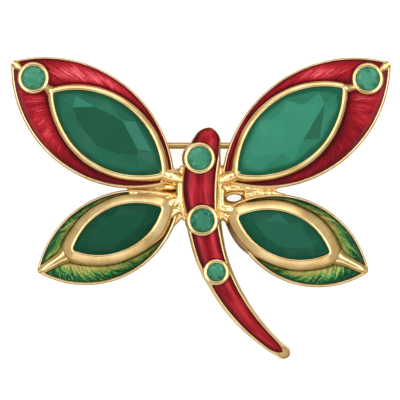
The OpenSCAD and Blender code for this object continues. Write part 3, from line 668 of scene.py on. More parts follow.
def setting_tree():
    inputs = {"Geometry": "Geometry", **dict.fromkeys(CORNERS, "Vector"), "Edge radius": "Float",
              "Edge steps": "Int", "Top height": "Float", "Metal": "Material"}
    tree, given, out = new_tree("Setting wall", "GeometryNodeTree", inputs, {"Geometry": "Geometry"})
    path = node(tree, "GeometryNodeMeshToCurve", {"Mesh": given["Geometry"]})
    upright = node(tree, "GeometryNodeSetCurveNormal", {"Curve": path.outputs["Curve"]}, mode="Z_UP")
    section = node(tree, "GeometryNodeCurvePrimitiveQuadrilateral", mode="POINTS")
    fill(section, {"Point " + str(i + 1): given[corner] for i, corner in enumerate(CORNERS)})
    rounded = node(tree, "GeometryNodeFilletCurve", mode="POLY")
    fill(rounded, {"Curve": section.outputs["Curve"], "Radius": given["Edge radius"],
                   "Count": given["Edge steps"]})
    sweep = node(tree, "GeometryNodeCurveToMesh",
                 {"Curve": upright.outputs["Curve"], "Profile Curve": rounded.outputs["Curve"]})
    lean = node(tree, "GeometryNodeInputNamedAttribute", {"Name": "lean"}, data_type="FLOAT_VECTOR")
    height = parts_of(tree, node(tree, "GeometryNodeInputPosition").outputs[0])["Z"]
    depth = math_node(tree, "SUBTRACT", given["Top height"], height)
    feeds = {0: lean.outputs["Attribute"], "Scale": depth}
    push = node(tree, "ShaderNodeVectorMath", feeds, operation="SCALE").outputs[0]
    move = node(tree, "GeometryNodeSetPosition", {"Geometry": sweep.outputs["Mesh"], "Offset": push})
    end_tree(tree, move.outputs["Geometry"], given["Metal"], out)
    return tree


SETTING = setting_tree()
print("tree:", SETTING.name, [s.name for s in SETTING.interface.items_tree])

# %% A path as a closed wire, and a tree run on it
def closed_wire(points, leans):
    mesh = bpy.data.meshes.new("wire")
    mesh.from_pydata(points, [(i, (i + 1) % len(points)) for i in range(len(points))], [])
    lean = mesh.attributes.new("lean", "FLOAT_VECTOR", "POINT")
    lean.data.foreach_set("vector", [c for vector in leans for c in vector])
    return add_object("wire", mesh)


def run_tree(obj, tree, values):
    """Runs a tree on an object, and keeps the result as its mesh."""
    modifier = modify(obj, "NODES", node_group=tree)
    for socket in tree.interface.items_tree:
        if socket.in_out == "INPUT" and socket.name in values:
            modifier[socket.identifier] = values[socket.name]
    keep_result(obj)


# %% [markdown]
# ## Marquise settings
# The four big stones sit in settings that lean in towards the stone. The wall is highest at its lip, which
# was burnished down over the stone's edge, and slopes down outwards from there, in a wide band on the lower
# wings. The path is the stone's own outline, with ends slightly rounded as a bent strip has them.

# %% Build the marquise settings
ARC_STEPS, TIP_STEPS, EDGE_STEPS = 64, 8, 6
MARQUISE_EDGE = 0.24


def marquise_path(length, width, corner, place):
    """Closed outline of a marquise stone with slightly rounded ends, through a placing function."""
    r = arc_radius(length, width / 2)
    rise = r - width / 2
    tip = math.sqrt((r - corner) ** 2 - rise ** 2)
    turn = math.atan2(rise, tip)
    points = []
    for cx, cy, radius, start, end, steps in (
            (0, -rise, r, turn, math.pi - turn, ARC_STEPS),
            (-tip, 0, corner, math.pi - turn, math.pi + turn, TIP_STEPS),
            (0, rise, r, math.pi + turn, 2 * math.pi - turn, ARC_STEPS),
            (tip, 0, corner, -turn, turn, TIP_STEPS)):
        for i in range(steps):
            a = start + (end - start) * i / steps
            points.append(place(cx + radius * math.cos(a), cy + radius * math.sin(a)))
    return points


def make_setting(name, points, corners, edge, top, lean):
    """A setting on a closed path. lean(point) gives how far the wall spreads there for each step down."""
    if sum(a.x * b.y - b.x * a.y for a, b in zip(points, points[1:] + points[:1])) < 0:
        points = points[::-1]
    leans = []
    for before, point, after in zip(points[-1:] + points[:-1], points, points[1:] + points[:1]):
        outward = Vector((after.y - before.y, before.x - after.x, 0)).normalized()
        leans.append(outward * lean(point))
    wire = closed_wire(points, leans)
    values = {label: (x * MM, -z * MM, 0.0) for label, (x, z) in zip(CORNERS, corners)}
    run_tree(wire, SETTING, {**values, "Edge radius": edge * MM, "Edge steps": EDGE_STEPS,
                             "Top height": (BACK + top) * MM, "Metal": SETTING_GILT})
    bm = bmesh.new()
    bm.from_mesh(wire.data)
    bpy.data.objects.remove(wire)
    ride_frame(finish_mesh(name, bm, SETTING_GILT, 50), "gilt_metal", "frame")


for name, wing in WINGS.items():
    cut = SECTIONS[name[:5]]
    path = marquise_path(*wing["stone"], cut["round"], lambda p, q: on_stone(wing, p, q, 0.0))
    make_setting("setting_" + name, path, cut["corners"], MARQUISE_EDGE, cut["top"],
                 lambda point: spread_at(name, *off_wing(wing, point)))

# %% [markdown]
# ## Round settings
# The five round stones have the same kind of wall, rounder and lower, like a small collar. Two stand on the
# upper wings near their tips and three on the body, which they join across its whole width.

# %% Places of the round stones, in millimetres
TIP_ALONG = 0.86
ROUND_STEPS, COLLAR_EDGE, COLLAR_LEAN = 96, 0.19, 0.1
HEAD_Y, BODY_LENGTH, TAIL_SWEEP, BODY_WIDTH, BODY_THICK, BODY_RIM = 9.8, 27.75, 10.75, 4.8, 2.1, 0.5
ROUNDS = {}
for side in ("left", "right"):
    wing = WINGS["upper_" + side]
    place = on_wing(wing, TIP_ALONG * wing["length"], 0, 0)
    ROUNDS[side] = dict(at=place, size=3.0, top=2.25, foot=0.7, girdle=1.676, tone=0.48)
for name, across, along, height, size, tone in (
        ("head", -0.015, 0.134, 1.0, 3.0, 0.48), ("thorax", 0.018, 0.402, 1.0, 3.0, 0.30),
        ("abdomen", 0.172, 0.625, 0.95, 2.3, 0.34)):
    place = Vector((across * TAIL_SWEEP, HEAD_Y - along * BODY_LENGTH, BACK * height)) * MM
    ROUNDS[name] = dict(at=place, size=size, top=2.9, foot=1.2, girdle=2.326, tone=tone)

for name, spot in ROUNDS.items():
    foot, top, radius = spot["foot"], spot["top"], spot["size"] / 2
    path = [spot["at"] + Vector((x, y, 0)) * MM for x, y in oval(radius, radius, ROUND_STEPS)]
    collar = [(0.47, foot), (0.36, top - 0.1), (-0.12, top + 0.02), (-0.12, foot)]
    make_setting("collar_" + name, path, collar, COLLAR_EDGE, top, lambda point: COLLAR_LEAN)

# %% [markdown]
# ## Ridges between the settings
# Where a setting ends, its wall runs on as a ridge to the next setting or to the wing's tip. Each ridge is a
# short row of half-round sections, wide and tall where it leaves the setting and slimmer in the middle, like
# a neck. Rows are given along the wing, with a width and a height each.

# %% Build the ridges
RIDGE_SIDES, RIDGE_STEPS = 16, 6
RIDGE_FOOT, RIDGE_WAIST = 0.6, 0.75


def make_ridge(name, wing, rows):
    """A ridge through rows of a place along and across the wing, half a width and a height."""
    smooth = [spline(rows, i, k / RIDGE_STEPS) for i in range(len(rows) - 1) for k in range(RIDGE_STEPS)]
    rings = []
    for u, v, half, top in smooth + [rows[-1]]:
        turns = [math.pi * k / RIDGE_SIDES for k in range(RIDGE_SIDES + 1)]
        rise = top - RIDGE_WAIST
        ring = [(v + half * math.cos(a), RIDGE_WAIST + rise * math.sin(a) ** 0.7) for a in turns]
        ring += [(v - half, RIDGE_FOOT), (v + half, RIDGE_FOOT)]
        rings.append([on_wing(wing, u, across, z) for across, z in ring])
    bm = bmesh.new()
    add_rings(bm, rings, loop=False)
    ride_frame(finish_mesh(name, bm, GILT, 50), "gilt_metal", "frame")


for name, wing in WINGS.items():
    length = wing["length"]
    middle_u, middle_v = stone_middle(wing)
    reach_u, reach_v = turned(wing["stone"][0] / 2, 0, wing["stone_turn"])
    u, v = middle_u + reach_u, middle_v + reach_v
    if name.startswith("upper"):
        round_u = TIP_ALONG * length
        make_ridge("neck_" + name, wing,
                   [(u - 0.05, v, 0.75, 2.55), (u + 0.35, v * 0.7, 0.80, 2.5), (u + 0.8, v * 0.4, 0.64, 2.3),
                    (round_u - 1.62, 0, 0.66, 2.08)])
        make_ridge("tip_" + name, wing,
                   [(round_u + 1.5, 0, 0.5, 2.0), (round_u + 2.1, 0, 0.44, 1.9),
                    (length - 1.3, 0, 0.50, 1.82), (length - 0.75, 0, 0.62, 1.72),
                    (length - 0.25, 0, 0.46, 1.6)])
    else:
        make_ridge("tip_" + name, wing,
                   [(u + 0.1, v, 1.0, 2.06), (u + 0.9, v * 0.7, 1.12, 2.04), (u + 1.7, v * 0.4, 0.84, 2.0),
                    (length - 1.3, 0, 0.66, 1.9), (length - 0.3, 0, 0.46, 1.62)])

# %% [markdown]
# ## Body
# The body is a long, bent strip of the same casting, with its own rim and a deep tray for red enamel. A table
# gives where its middle runs and how wide, thick and high it is at thirteen places; a smooth curve through
# the table gives every place in between. The rim on the right of the thorax is wide and slopes outwards.

# %% Table of the body and curves through it
ACROSS, ALONG, WIDE, THICK, DROP, LEFT_RIM, RIGHT_RIM = range(7)
BODY = [
    [0.118, 0, 0.50, 0.85, 0, 0.5, 0.5], [0.080, 0.048, 0.67, 0.95, 0, 0.5, 0.5],
    [0.034, 0.112, 0.85, 1, 0, 0.6, 0.7], [0.009, 0.200, 0.97, 1, 0, 0.6, 1.4],
    [0.005, 0.280, 1, 1, 0, 0.6, 1.7], [0.020, 0.368, 0.90, 1, 0, 0.7, 1.4],
    [0.052, 0.458, 0.86, 1, 0, 0.9, 1.1], [0.116, 0.562, 0.81, 0.98, 0.015, 1, 1],
    [0.228, 0.663, 0.73, 0.94, 0.090, 1, 1], [0.379, 0.763, 0.66, 0.88, 0.240, 1, 1],
    [0.578, 0.860, 0.545, 0.80, 0.470, 0.9, 0.9], [0.810, 0.946, 0.42, 0.72, 0.750, 0.8, 0.8],
    [1.000, 0.998, 0.33, 0.66, 1.000, 0.8, 0.8],
]
LAST = len(BODY) - 1
CELL_FROM, CELL_TO = 0.18, 11.5
THINNEST = 0.02


def body_at(t):
    i = min(int(t), LAST - 1)
    return spline(BODY, i, t - i)


def body_point(t):
    row = body_at(t)
    return Vector((row[ACROSS] * TAIL_SWEEP, HEAD_Y - row[ALONG] * BODY_LENGTH))


def end_rounding(t, start, stop, r_start, r_stop):
    """Share of the full width near the two rounded ends of a strip."""
    share = 1.0
    for end, r, inside in ((start, r_start, t >= start), (stop, r_stop, t <= stop)):
        reach = (body_point(t) - body_point(end)).length if inside else 0.0
        share *= 1.0 if reach >= r else math.sqrt(max(1 - (1 - max(reach, THINNEST) / r) ** 2, 0.0))
    return share


def body_ring(t, section):
    ahead, behind = body_point(min(t + 0.05, LAST)), body_point(max(t - 0.05, 0))
    way = (ahead - behind).normalized()
    at, base = body_point(t), BACK * (1 - body_at(t)[DROP])
    return [Vector((at.x - a * way.y, at.y + a * way.x, base + z)) * MM for a, z in section]


def body_places(start, stop, near=0.9, count=200, extra=14):
    """Places along the body, closer together at both ends."""
    places = [start + (stop - start) * (i / count) for i in range(count + 1)]
    places += [start + near * (i / extra) ** 2 for i in range(1, extra)]
    places += [stop - near * (i / extra) ** 2 for i in range(1, extra)]
    return sorted(set(round(p, 5) for p in places))


def cell_reach(t, rim):
    row = body_at(t)
    if not CELL_FROM < t < CELL_TO:
        return THINNEST
    half = row[WIDE] * BODY_WIDTH / 2 - row[rim] * BODY_RIM
    return max(half * end_rounding(t, CELL_FROM, CELL_TO, 1.1, 1.8), THINNEST)


print("body length along its middle, mm:",
      round(sum((body_point((i + 1) / 20) - body_point(i / 20)).length for i in range(LAST * 20)), 1))

# %% Build the body's metal
def half_section(w, h, reach, depth):
    """Right half of the body's section, from the foot up over the rim and down into the tray."""
    rim = max(w - reach, THINNEST)
    crest = min(0.2, 0.5 * rim)
    solid = 1 - min(1, reach / 0.3)
    bead = 0.02 * (1 - solid)
    return [(w - min(0.22, 0.4 * w), 0), (w - 0.04, 0.06), (w, 0.25), (w, 0.42 * h),
            (w - 0.08 * rim, 0.6 * h), (w - (0.3 - 0.1 * solid) * rim, (0.82 + 0.07 * solid) * h),
            (reach + crest + (0.12 + 0.22 * solid) * rim, h - 0.07 + 0.03 * solid), (reach + crest, h - bead),
            (reach + 0.5 * crest, h + bead), (reach + 0.04 - 0.02 * solid, h - bead),
            (reach, h - min(0.1, 0.5 * depth)), (reach, h - depth)]


def body_section(t):
    row = body_at(t)
    w = row[WIDE] * BODY_WIDTH / 2 * end_rounding(t, 0, LAST, 1.3, 0.6)
    h = row[THICK] * BODY_THICK * (0.86 + 0.14 * end_rounding(t, 0, LAST, 0.24, 1.3))
    left, right = cell_reach(t, LEFT_RIM), cell_reach(t, RIGHT_RIM)
    depth = 0.6 * min(1, min(left, right) / 0.5)
    left, right = min(left, w - 0.03), min(right, w - 0.03)
    return half_section(w, h, right, depth) + [(-a, z) for a, z in reversed(half_section(w, h, left, depth))]


bm = bmesh.new()
add_rings(bm, [body_ring(t, body_section(t)) for t in body_places(0, LAST)], loop=False)
ride_frame(finish_mesh("body_metal", bm, GILT, 60), "gilt_metal", "frame")

# %% [markdown]
# ## Enamel on the body
# One strip of red enamel runs down the body under the three round settings. It was built up in several coats,
# so it is crowned like a half-round wire, higher where the body is wide, and it mirrors the lamps as long
# soft bands. Its streaks run along the body, so the rays are stretched that way.

# %% Build the body's enamel
CROWN, CROWN_STEPS = 0.24, 20
TUCK, SUNK, COAT = 0.03, 0.04, 0.35


def crowned_section(t):
    left, right = -cell_reach(t, LEFT_RIM) - TUCK, cell_reach(t, RIGHT_RIM) + TUCK
    middle, half = (left + right) / 2, (right - left) / 2
    h = body_at(t)[THICK] * BODY_THICK - SUNK
    rise = CROWN * half * end_rounding(t, CELL_FROM, CELL_TO, 1.6, 1.0)
    shares = [1 - 2 * i / CROWN_STEPS for i in range(CROWN_STEPS + 1)]
    top = [(middle + s * half, h + rise * (1 - abs(s) ** 2.3)) for s in shares]
    return top + [(left, h - COAT), (right, h - COAT)]


places = body_places(CELL_FROM + 0.001, CELL_TO - 0.001)
across = [i / CROWN_STEPS for i in range(CROWN_STEPS + 1)] + [1.0, 0.0]
bm = bmesh.new()
add_rings(bm, [body_ring(t, crowned_section(t)) for t in places], loop=False, uv=(places, across))
ride_frame(finish_mesh("glaze_body", bm, RED_BODY, 60), "red_enamel",
           "enamel_head", "enamel_thorax", "enamel_abdomen", "enamel_tail")

# %% [markdown]
# ## Cut stones
# A marquise stone is a lens seen from above: a flat table, a belt of star and kite facets, a thin girdle and
# a keel below. Its facets are flat, so the mesh is the convex hull of five layers of points, and every facet
# also carries a tone. Real facets send back different parts of the stone's inside, and the tone is a painted
# reflection of that, so that a facet stays lighter or darker from wherever it is seen.

# %% Build the stones
GIRDLE = 0.15
BELT_LONG, BELT_WIDE, BELT_UP = 0.87, 0.82, 0.56
KEEL_LONG, KEEL_WIDE = 0.4, 0.08
HALF_FACET, FACET_EDGE = math.radians(22.5), math.radians(8)
SOFT_EDGE = 0.03 * MM
FLAT_UP, FLAT_WITHIN = 0.995, math.radians(2.5)
FLICKER_STEP, FLICKER_SPREAD = 12.9898, 43758.5453
STONE_HEIGHTS = {"upper": (1.05, -1.85, 2.051), "lower": (1.05, -1.6, 2.0125)}


def marquise_layer(length, width, count, start=0.0):
    """Points on a marquise outline at equal shares of a turn."""
    r = arc_radius(length, width / 2)
    tip = math.asin(min(1, length / 2 / r))
    points = []
    for i in range(count):
        share = ((i + start) / count) % 1
        lower = share >= 0.5
        turn = tip * (1 - 4 * (share - 0.5 if lower else share))
        x, y = r * math.sin(turn), r * math.cos(turn) - (r - width / 2)
        points.append((-x, -y) if lower else (x, y))
    return points


def paint_facet_reflections(bm, middle, look):
    """Stores a painted reflection tone on every facet, by its kind and by its side of the stone."""
    layer = bm.faces.layers.float.new("facet")
    table_z = max(v.co.z for v in bm.verts)
    facets = sorted(bm.faces, key=lambda f: tuple(round(c, 6) for c in f.calc_center_median()))
    for number, face in enumerate(facets):
        p, q = middle(face.calc_center_median())
        flicker = math.sin(number * FLICKER_STEP + look["seed"]) * FLICKER_SPREAD % 1 - 0.5
        is_star = sum(v.co.z > table_z - 1e-6 for v in face.verts) == 2
        turn = math.atan2(q * look["stretch"], p) - HALF_FACET
        tone = round_table(look["stars" if is_star else "kites"], turn) + look["flicker"] * flicker
        face[layer] = look["table"] if face.normal.z > FLAT_UP else tone


def cut_stone(name, place, middle, layers, look, material, slot, node_name):
    bm = bmesh.new()
    for points, z in layers:
        for x, y in points:
            bm.verts.new(place(x, y, look["girdle"] + z))
    bmesh.ops.convex_hull(bm, input=bm.verts)
    bmesh.ops.delete(bm, geom=[v for v in bm.verts if not v.link_faces], context="VERTS")
    bmesh.ops.dissolve_limit(bm, angle_limit=FLAT_WITHIN, verts=bm.verts, edges=bm.edges)
    bm.normal_update()
    paint_facet_reflections(bm, middle, look)
    obj = add_object(name, mesh_of(name, bm))
    modify(obj, "BEVEL", width=SOFT_EDGE, segments=1, limit_method="ANGLE", angle_limit=FACET_EDGE)
    keep_result(obj)
    obj.data.materials.clear()
    obj.data.materials.append(material)
    ride_frame(obj, slot, node_name)


TABLES = {
    "upper_left": [(5.0, 0.03), (2.91, 1.64), (-0.66, 2.24), (-4.22, 0.53), (-4.56, -0.03), (-2.47, -1.34),
                   (0.0, -2.03), (3.47, -1.15)],
    "upper_right": [(5.2, -0.1), (3.0, 1.5), (-0.5, 2.2), (-4.3, 0.75), (-4.9, 0.1), (-2.4, -1.5),
                    (0.5, -1.83), (3.47, -0.67)],
    "lower_left": [(3.7, 0.0), (2.1, 1.1), (-0.2, 1.6), (-3.1, 0.5), (-3.8, 0.0), (-2.0, -1.0), (0.2, -1.5),
                   (2.6, -0.7)],
    "lower_right": [(3.9, 0.0), (2.3, 1.1), (0.0, 1.5), (-2.7, 0.7), (-3.7, 0.0), (-1.9, -1.1), (0.3, -1.5),
                    (2.7, -0.7)],
}
# Painted reflections: a tone for each stone's table and, round the stone, for its star and kite facets.
LOOKS = {
    "upper_left": dict(table=0.10, stars=[1.10, 0.45, 1.10, 0.30, 0.30, 0.35, 0.30, 0.40],
                       kites=[0.50, 0.42, 0.28, 0.45, 0.40, 0.45, 0.50, 0.40]),
    "upper_right": dict(table=0.62, stars=[0.55, 0.58, 0.60, 0.60, 0.58, 0.60, -0.10, 0.50],
                        kites=[0.10, 0.42, 0.57, 0.60, 0.48, 0.38, 0.38, 0.50]),
    "lower_left": dict(table=0.42, stars=[0.30, 0.38, 0.55, 0.28, 0.18, 0.20, 0.22, 0.26],
                       kites=[0.30, 0.25, 0.25, 0.20, 0.05, 0.05, 0.10, 0.20]),
    "lower_right": dict(table=0.60, stars=[0.34, 0.55, 0.90, 0.38, 0.18, 0.15, 0.22, 0.26],
                        kites=[0.15, 0.30, 0.45, 0.35, 0.10, 0.00, 0.10, 0.05]),
}
for number, (name, wing) in enumerate(WINGS.items()):
    length, width = wing["stone"]
    upper = name.startswith("upper")
    crown, keel, girdle = STONE_HEIGHTS[name[:5]]
    layers = [(TABLES[name], GIRDLE + crown),
              (marquise_layer(length * BELT_LONG, width * BELT_WIDE, 8, 0.5), GIRDLE + crown * BELT_UP),
              (marquise_layer(length, width, 40), GIRDLE), (marquise_layer(length, width, 40), 0.0),
              (marquise_layer(length * KEEL_LONG, width * KEEL_WIDE, 8), keel)]
    look = dict(LOOKS[name], flicker=0.06, seed=2.0 + number, stretch=2.0, girdle=girdle)
    cut_stone("stone_" + name + "_cut", lambda p, q, z: on_stone(wing, p, q, z), lambda v: off_wing(wing, v),
              layers, look, STONE_LOOKS[name], "green_stone" if upper else "dark_green_stone",
              "stone_" + name)

for number, (name, spot) in enumerate(ROUNDS.items()):
    at, half, tone = spot["at"], spot["size"] / 2, spot["tone"]
    layers = [(oval(half * share, half * share, count, number + shift * math.pi / count), z)
              for share, count, shift, z in ((0.56, 8, 0, 0.65), (0.8, 8, 1, GIRDLE + 0.5 * BELT_UP),
                                             (1, 32, 0, GIRDLE), (1, 32, 0, 0.0), (0.08, 8, 0, -0.95))]
    # Painted reflections on the round stones' facets, spread round each stone's tone.
    look = dict(table=tone, stars=[tone + d for d in (0.2, -0.1, 0.35, 0.3, 0.0, 0.1, -0.15, 0.05)],
                kites=[tone + d for d in (0.0, 0.15, 0.05, 0.1, -0.1, -0.15, 0.1, -0.1)],
                flicker=0.6, seed=3.0 + number, stretch=1.0, girdle=spot["girdle"])
    cut_stone("stone_round_" + name + "_cut", lambda p, q, z: at + Vector((p, q, z)) * MM,
              lambda v: (v.x - at.x, v.y - at.y), layers, look, PALE_STONE, "pale_green_stone",
              "round_stone_" + name)

# %% [markdown]
# ## Cast roots
# Where the wings meet the body the wax model was simply melted together, and the casting keeps those lumps,
# with dimples and a rough skin. Thick rounded bars are laid down first, then a voxel remesh melts them into
# one skin, as the wax did. A small Geometry Nodes tree pushes that skin in and out by noise. It also stores
# how far each point stands out of its surroundings, and the cast gilt paints shade into the hollows by it.

# %% The tree that roughens a cast skin
def skin_tree():
    sizes = floats("Lump size", "Lump height", "Grain size", "Grain height", "Seed")
    inputs = {"Geometry": "Geometry", **sizes, "Metal": "Material"}
    tree, given, out = new_tree("Cast skin", "GeometryNodeTree", inputs, {"Geometry": "Geometry"})
    normal = node(tree, "GeometryNodeInputNormal").outputs[0]
    pushes = []
    for label in ("Lump", "Grain"):
        scale = math_node(tree, "DIVIDE", 1.0, given[label + " size"])
        feeds = {"Scale": scale, "Detail": 2.0, "W": given["Seed"]}
        texture = node(tree, "ShaderNodeTexNoise", feeds, noise_dimensions="4D")
        swing = math_node(tree, "SUBTRACT", texture.outputs["Fac"], 0.5)
        pushes.append(math_node(tree, "MULTIPLY", swing, given[label + " height"]))
    push = node(tree, "ShaderNodeVectorMath", {0: normal, "Scale": math_node(tree, "ADD", *pushes)},
                operation="SCALE")
    move = node(tree, "GeometryNodeSetPosition", {"Geometry": given["Geometry"], "Offset": push.outputs[0]})
    place = node(tree, "GeometryNodeInputPosition").outputs[0]
    feeds = {"Value": place, "Iterations": 40}
    around = node(tree, "GeometryNodeBlurAttribute", feeds, data_type="FLOAT_VECTOR")
    out_of = node(tree, "ShaderNodeVectorMath", {0: place, 1: around.outputs[0]}, operation="SUBTRACT")
    standing = node(tree, "ShaderNodeVectorMath", {0: out_of.outputs[0], 1: normal}, operation="DOT_PRODUCT")
    feeds = {"Geometry": move.outputs[0], "Name": "relief", "Value": standing.outputs["Value"]}
    store = node(tree, "GeometryNodeStoreNamedAttribute", feeds, data_type="FLOAT", domain="POINT")
    end_tree(tree, store.outputs[0], given["Metal"], out)
    return tree


SKIN = skin_tree()
print("tree:", SKIN.name, [s.name for s in SKIN.interface.items_tree])

# %% Bars, slabs and the hole of the roots
ball_bm = bmesh.new()
bmesh.ops.create_uvsphere(ball_bm, u_segments=20, v_segments=12, radius=1)
BALL_POINTS = [v.co.copy() for v in ball_bm.verts]
BALL_FACES = [[v.index for v in f.verts] for f in ball_bm.faces]
ball_bm.free()


def add_balls(bm, balls):
    """Adds balls, each given as x, y, height above the back and radius, all copied from one ball."""
    for x, y, z, r in balls:
        made = [bm.verts.new((Vector((x, y, BACK + z)) + p * r) * MM) for p in BALL_POINTS]
        for face in BALL_FACES:
            bm.faces.new([made[i] for i in face])


def add_bar(bm, a, b):
    """Thick rounded bar from one ball to another, of balls so close that it comes out smooth."""
    steps = max(2, round(math.dist(a[:3], b[:3]) / BALL_SPACING))
    add_balls(bm, [[p + (q - p) * i / steps for p, q in zip(a, b)] for i in range(steps + 1)])


ROOT_BARS = [
    [(-2.2, 4.9, 1.0, 0.4), (-2.5, 3.6, 1.3, 0.5), (-2.55, 2.0, 1.35, 0.5), (-2.45, 0.8, 1.35, 0.5),
     (-2.2, -0.2, 1.2, 0.45), (-1.9, -1.1, 0.9, 0.4)],
    [(-2.35, 4.1, 1.05, 0.45), (-3.2, 4.3, 0.95, 0.5), (-3.75, 5.0, 0.8, 0.35)],
    [(-2.5, 3.6, 1.40, 0.65), (-3.4, 3.85, 1.50, 0.8), (-4.5, 4.25, 1.7, 0.75)],
    [(-2.6, 3.2, 1.2, 0.55), (-3.8, 3.4, 1.05, 0.50), (-5.2, 3.15, 0.85, 0.40), (-6.6, 2.85, 0.75, 0.3)],
    [(-2.5, 2.75, 0.8, 0.5), (-4.5, 2.62, 0.62, 0.45), (-6.5, 2.5, 0.6, 0.40), (-8.6, 2.35, 0.6, 0.30)],
    [(-2.5, 1.3, 1.2, 0.55), (-3.4, 1.45, 1.2, 0.48), (-4.6, 1.65, 1.15, 0.45), (-6.0, 1.87, 1.1, 0.42),
     (-7.6, 1.98, 1.1, 0.38), (-8.7, 1.95, 1.0, 0.28)],
    [(-2.5, 1.0, 1.3, 0.6), (-3.4, 0.8, 1.35, 0.7), (-4.4, 0.3, 1.6, 0.65)],
    [(-2.4, 0.5, 1.0, 0.6), (-2.8, 0.0, 1.0, 0.6), (-3.6, -0.6, 1.2, 0.6)],
    [(-2.1, -0.4, 0.9, 0.5), (-2.6, -0.9, 0.85, 0.45), (-3.3, -1.7, 0.85, 0.40), (-4.2, -2.9, 0.9, 0.32)],
    [(2.2, 5.0, 1.0, 0.4), (2.5, 3.6, 1.3, 0.5), (2.5, 2.0, 1.35, 0.5), (2.5, 0.8, 1.35, 0.5),
     (2.45, -0.4, 1.2, 0.45), (2.2, -1.3, 0.9, 0.4)],
    [(2.4, 4.2, 1.05, 0.4), (2.75, 4.6, 0.9, 0.4), (3.0, 5.3, 0.8, 0.3)],
    [(2.5, 3.5, 1.40, 0.65), (3.2, 3.75, 1.50, 0.75), (4.4, 4.2, 1.7, 0.70)],
    [(2.6, 2.2, 1.05, 0.55), (3.4, 2.55, 1.0, 0.50), (4.8, 2.62, 0.92, 0.48), (6.6, 2.6, 0.85, 0.42),
     (8.6, 2.65, 0.75, 0.33), (10.4, 2.9, 0.75, 0.2)],
    [(2.5, 1.0, 1.0, 0.5), (3.2, 0.42, 1.05, 0.48), (4.4, 0.45, 1.1, 0.44), (5.8, 0.85, 1.0, 0.34),
     (7.0, 1.2, 0.95, 0.28)],
    [(5.5, 1.62, 0.85, 0.50), (6.8, 1.85, 0.82, 0.42), (8.6, 1.9, 0.72, 0.33), (10.2, 1.6, 0.7, 0.2)],
    [(2.5, 0.2, 1.3, 0.6), (3.4, 0.05, 1.4, 0.65), (4.5, -0.55, 1.65, 0.65)],
    [(2.4, -0.4, 1.0, 0.6), (3.0, -0.9, 1.0, 0.55), (3.7, -1.7, 1.0, 0.5), (4.5, -3.0, 0.95, 0.34)],
]
PITS = [(-3.1, 3.15, 1.7, 0.3), (-3.15, 0.55, 2.1, 0.26), (2.75, 2.65, 1.75, 0.3), (2.75, 0.06, 2.0, 0.28)]
HOLE = dict(x=3.98, y=1.34, turn=5.0, long=1.75, wide=0.8,
            flare=[(-0.3, 0.0), (0.3, 0.02), (0.75, 0.12), (1.2, 0.4), (1.7, 0.85)])
SLAB_FOOT = 0.02
SLABS = [([(-8.9, 2.43), (-2.0, 5.2), (-1.6, -1.0)], 0.6), ([(9.1, 2.25), (2.2, -1.5), (1.9, 5.1)], 0.85)]
HOLE_STEPS = 48
BALL_SPACING = 0.09
COARSE_MELT, FINE_MELT = 0.08, 0.07

bm = bmesh.new()
for bar in ROOT_BARS:
    for a, b in zip(bar, bar[1:]):
        add_bar(bm, a, b)
for corners, top in SLABS:
    rings = [[Vector((x, y, BACK + z)) * MM for x, y in corners] for z in (SLAB_FOOT, top)]
    add_rings(bm, rings, loop=False)
wax = add_object("wax", mesh_of("wax", bm))
modify(wax, "REMESH", mode="VOXEL", voxel_size=COARSE_MELT * MM)
keep_result(wax)
print("wax triangles:", len(wax.data.polygons) * 2)

# %% Dimples, hole and skin
bm = bmesh.new()
add_balls(bm, PITS)
rings = []
for z, grow in HOLE["flare"]:
    outline = oval(HOLE["long"] / 2 + grow, HOLE["wide"] / 2 + grow * 0.75, HOLE_STEPS)
    ring = [turned(p, q, HOLE["turn"]) for p, q in outline]
    rings.append([Vector((HOLE["x"] + p, HOLE["y"] + q, BACK + z)) * MM for p, q in ring])
add_rings(bm, rings, loop=False)
bmesh.ops.recalc_face_normals(bm, faces=bm.faces)
cutter = add_object("cutter", mesh_of("cutter", bm))
modify(wax, "BOOLEAN", operation="DIFFERENCE", object=cutter, solver="MANIFOLD")
keep_result(wax)
bpy.data.objects.remove(cutter)
modify(wax, "REMESH", mode="VOXEL", voxel_size=FINE_MELT * MM)
modify(wax, "SMOOTH", factor=0.5, iterations=8)
keep_result(wax)
run_tree(wax, SKIN, {"Lump size": 0.0011, "Lump height": 0.00018, "Grain size": 0.00050,
                     "Grain height": 0.00003, "Seed": 4.0, "Metal": ROUGH_GILT})
bm = bmesh.new()
bm.from_mesh(wax.data)
bpy.data.objects.remove(wax)
ride_frame(finish_mesh("roots_cast", bm, ROUGH_GILT, 80), "gilt_metal", "frame")

# %% [markdown]
# ## Painted shade at the edges of the enamel
# Wherever glass meets a metal wall the wall would shade it, so each field is framed by a thin line of
# painted shade. A search tree over all the metal tells every point of the enamel how near the metal is, and
# that becomes a value on the mesh: none at the wall, one in the open field.

# %% Measure how near the metal is
# Within this reach of the metal the enamel darkens into its painted shade.
REACH = 0.18 * MM
METAL = ("tray_", "setting_", "collar_", "neck_", "tip_", "body_metal", "roots_")
walls = []
for piece in [o for o in bpy.context.scene.objects if o.name.startswith(METAL)]:
    faces = [p.vertices for p in piece.data.polygons]
    walls.append(BVHTree.FromPolygons([v.co for v in piece.data.vertices], faces))
for piece in [o for o in bpy.context.scene.objects if o.name.startswith("glaze_")]:
    gaps = []
    for vert in piece.data.vertices:
        gap = REACH
        for place, way, face, far in (wall.find_nearest(vert.co, REACH) for wall in walls):
            if place:
                gap = 0.0 if (vert.co - place).dot(way) < 0 else min(gap, far)
        gaps.append(gap / REACH)
    piece.data.attributes.new("edge", "FLOAT", "POINT").data.foreach_set("value", gaps)
    print(piece.name, "points near metal:", sum(gap < 1 for gap in gaps), "of", len(gaps))

# %% [markdown]
# ## Pin, hinge and catch
# The findings at the back are turned and bent from wire, and their exact solids already have the right shape.
# They keep their meshes and only take the gilt finish, a little duller on the wire.

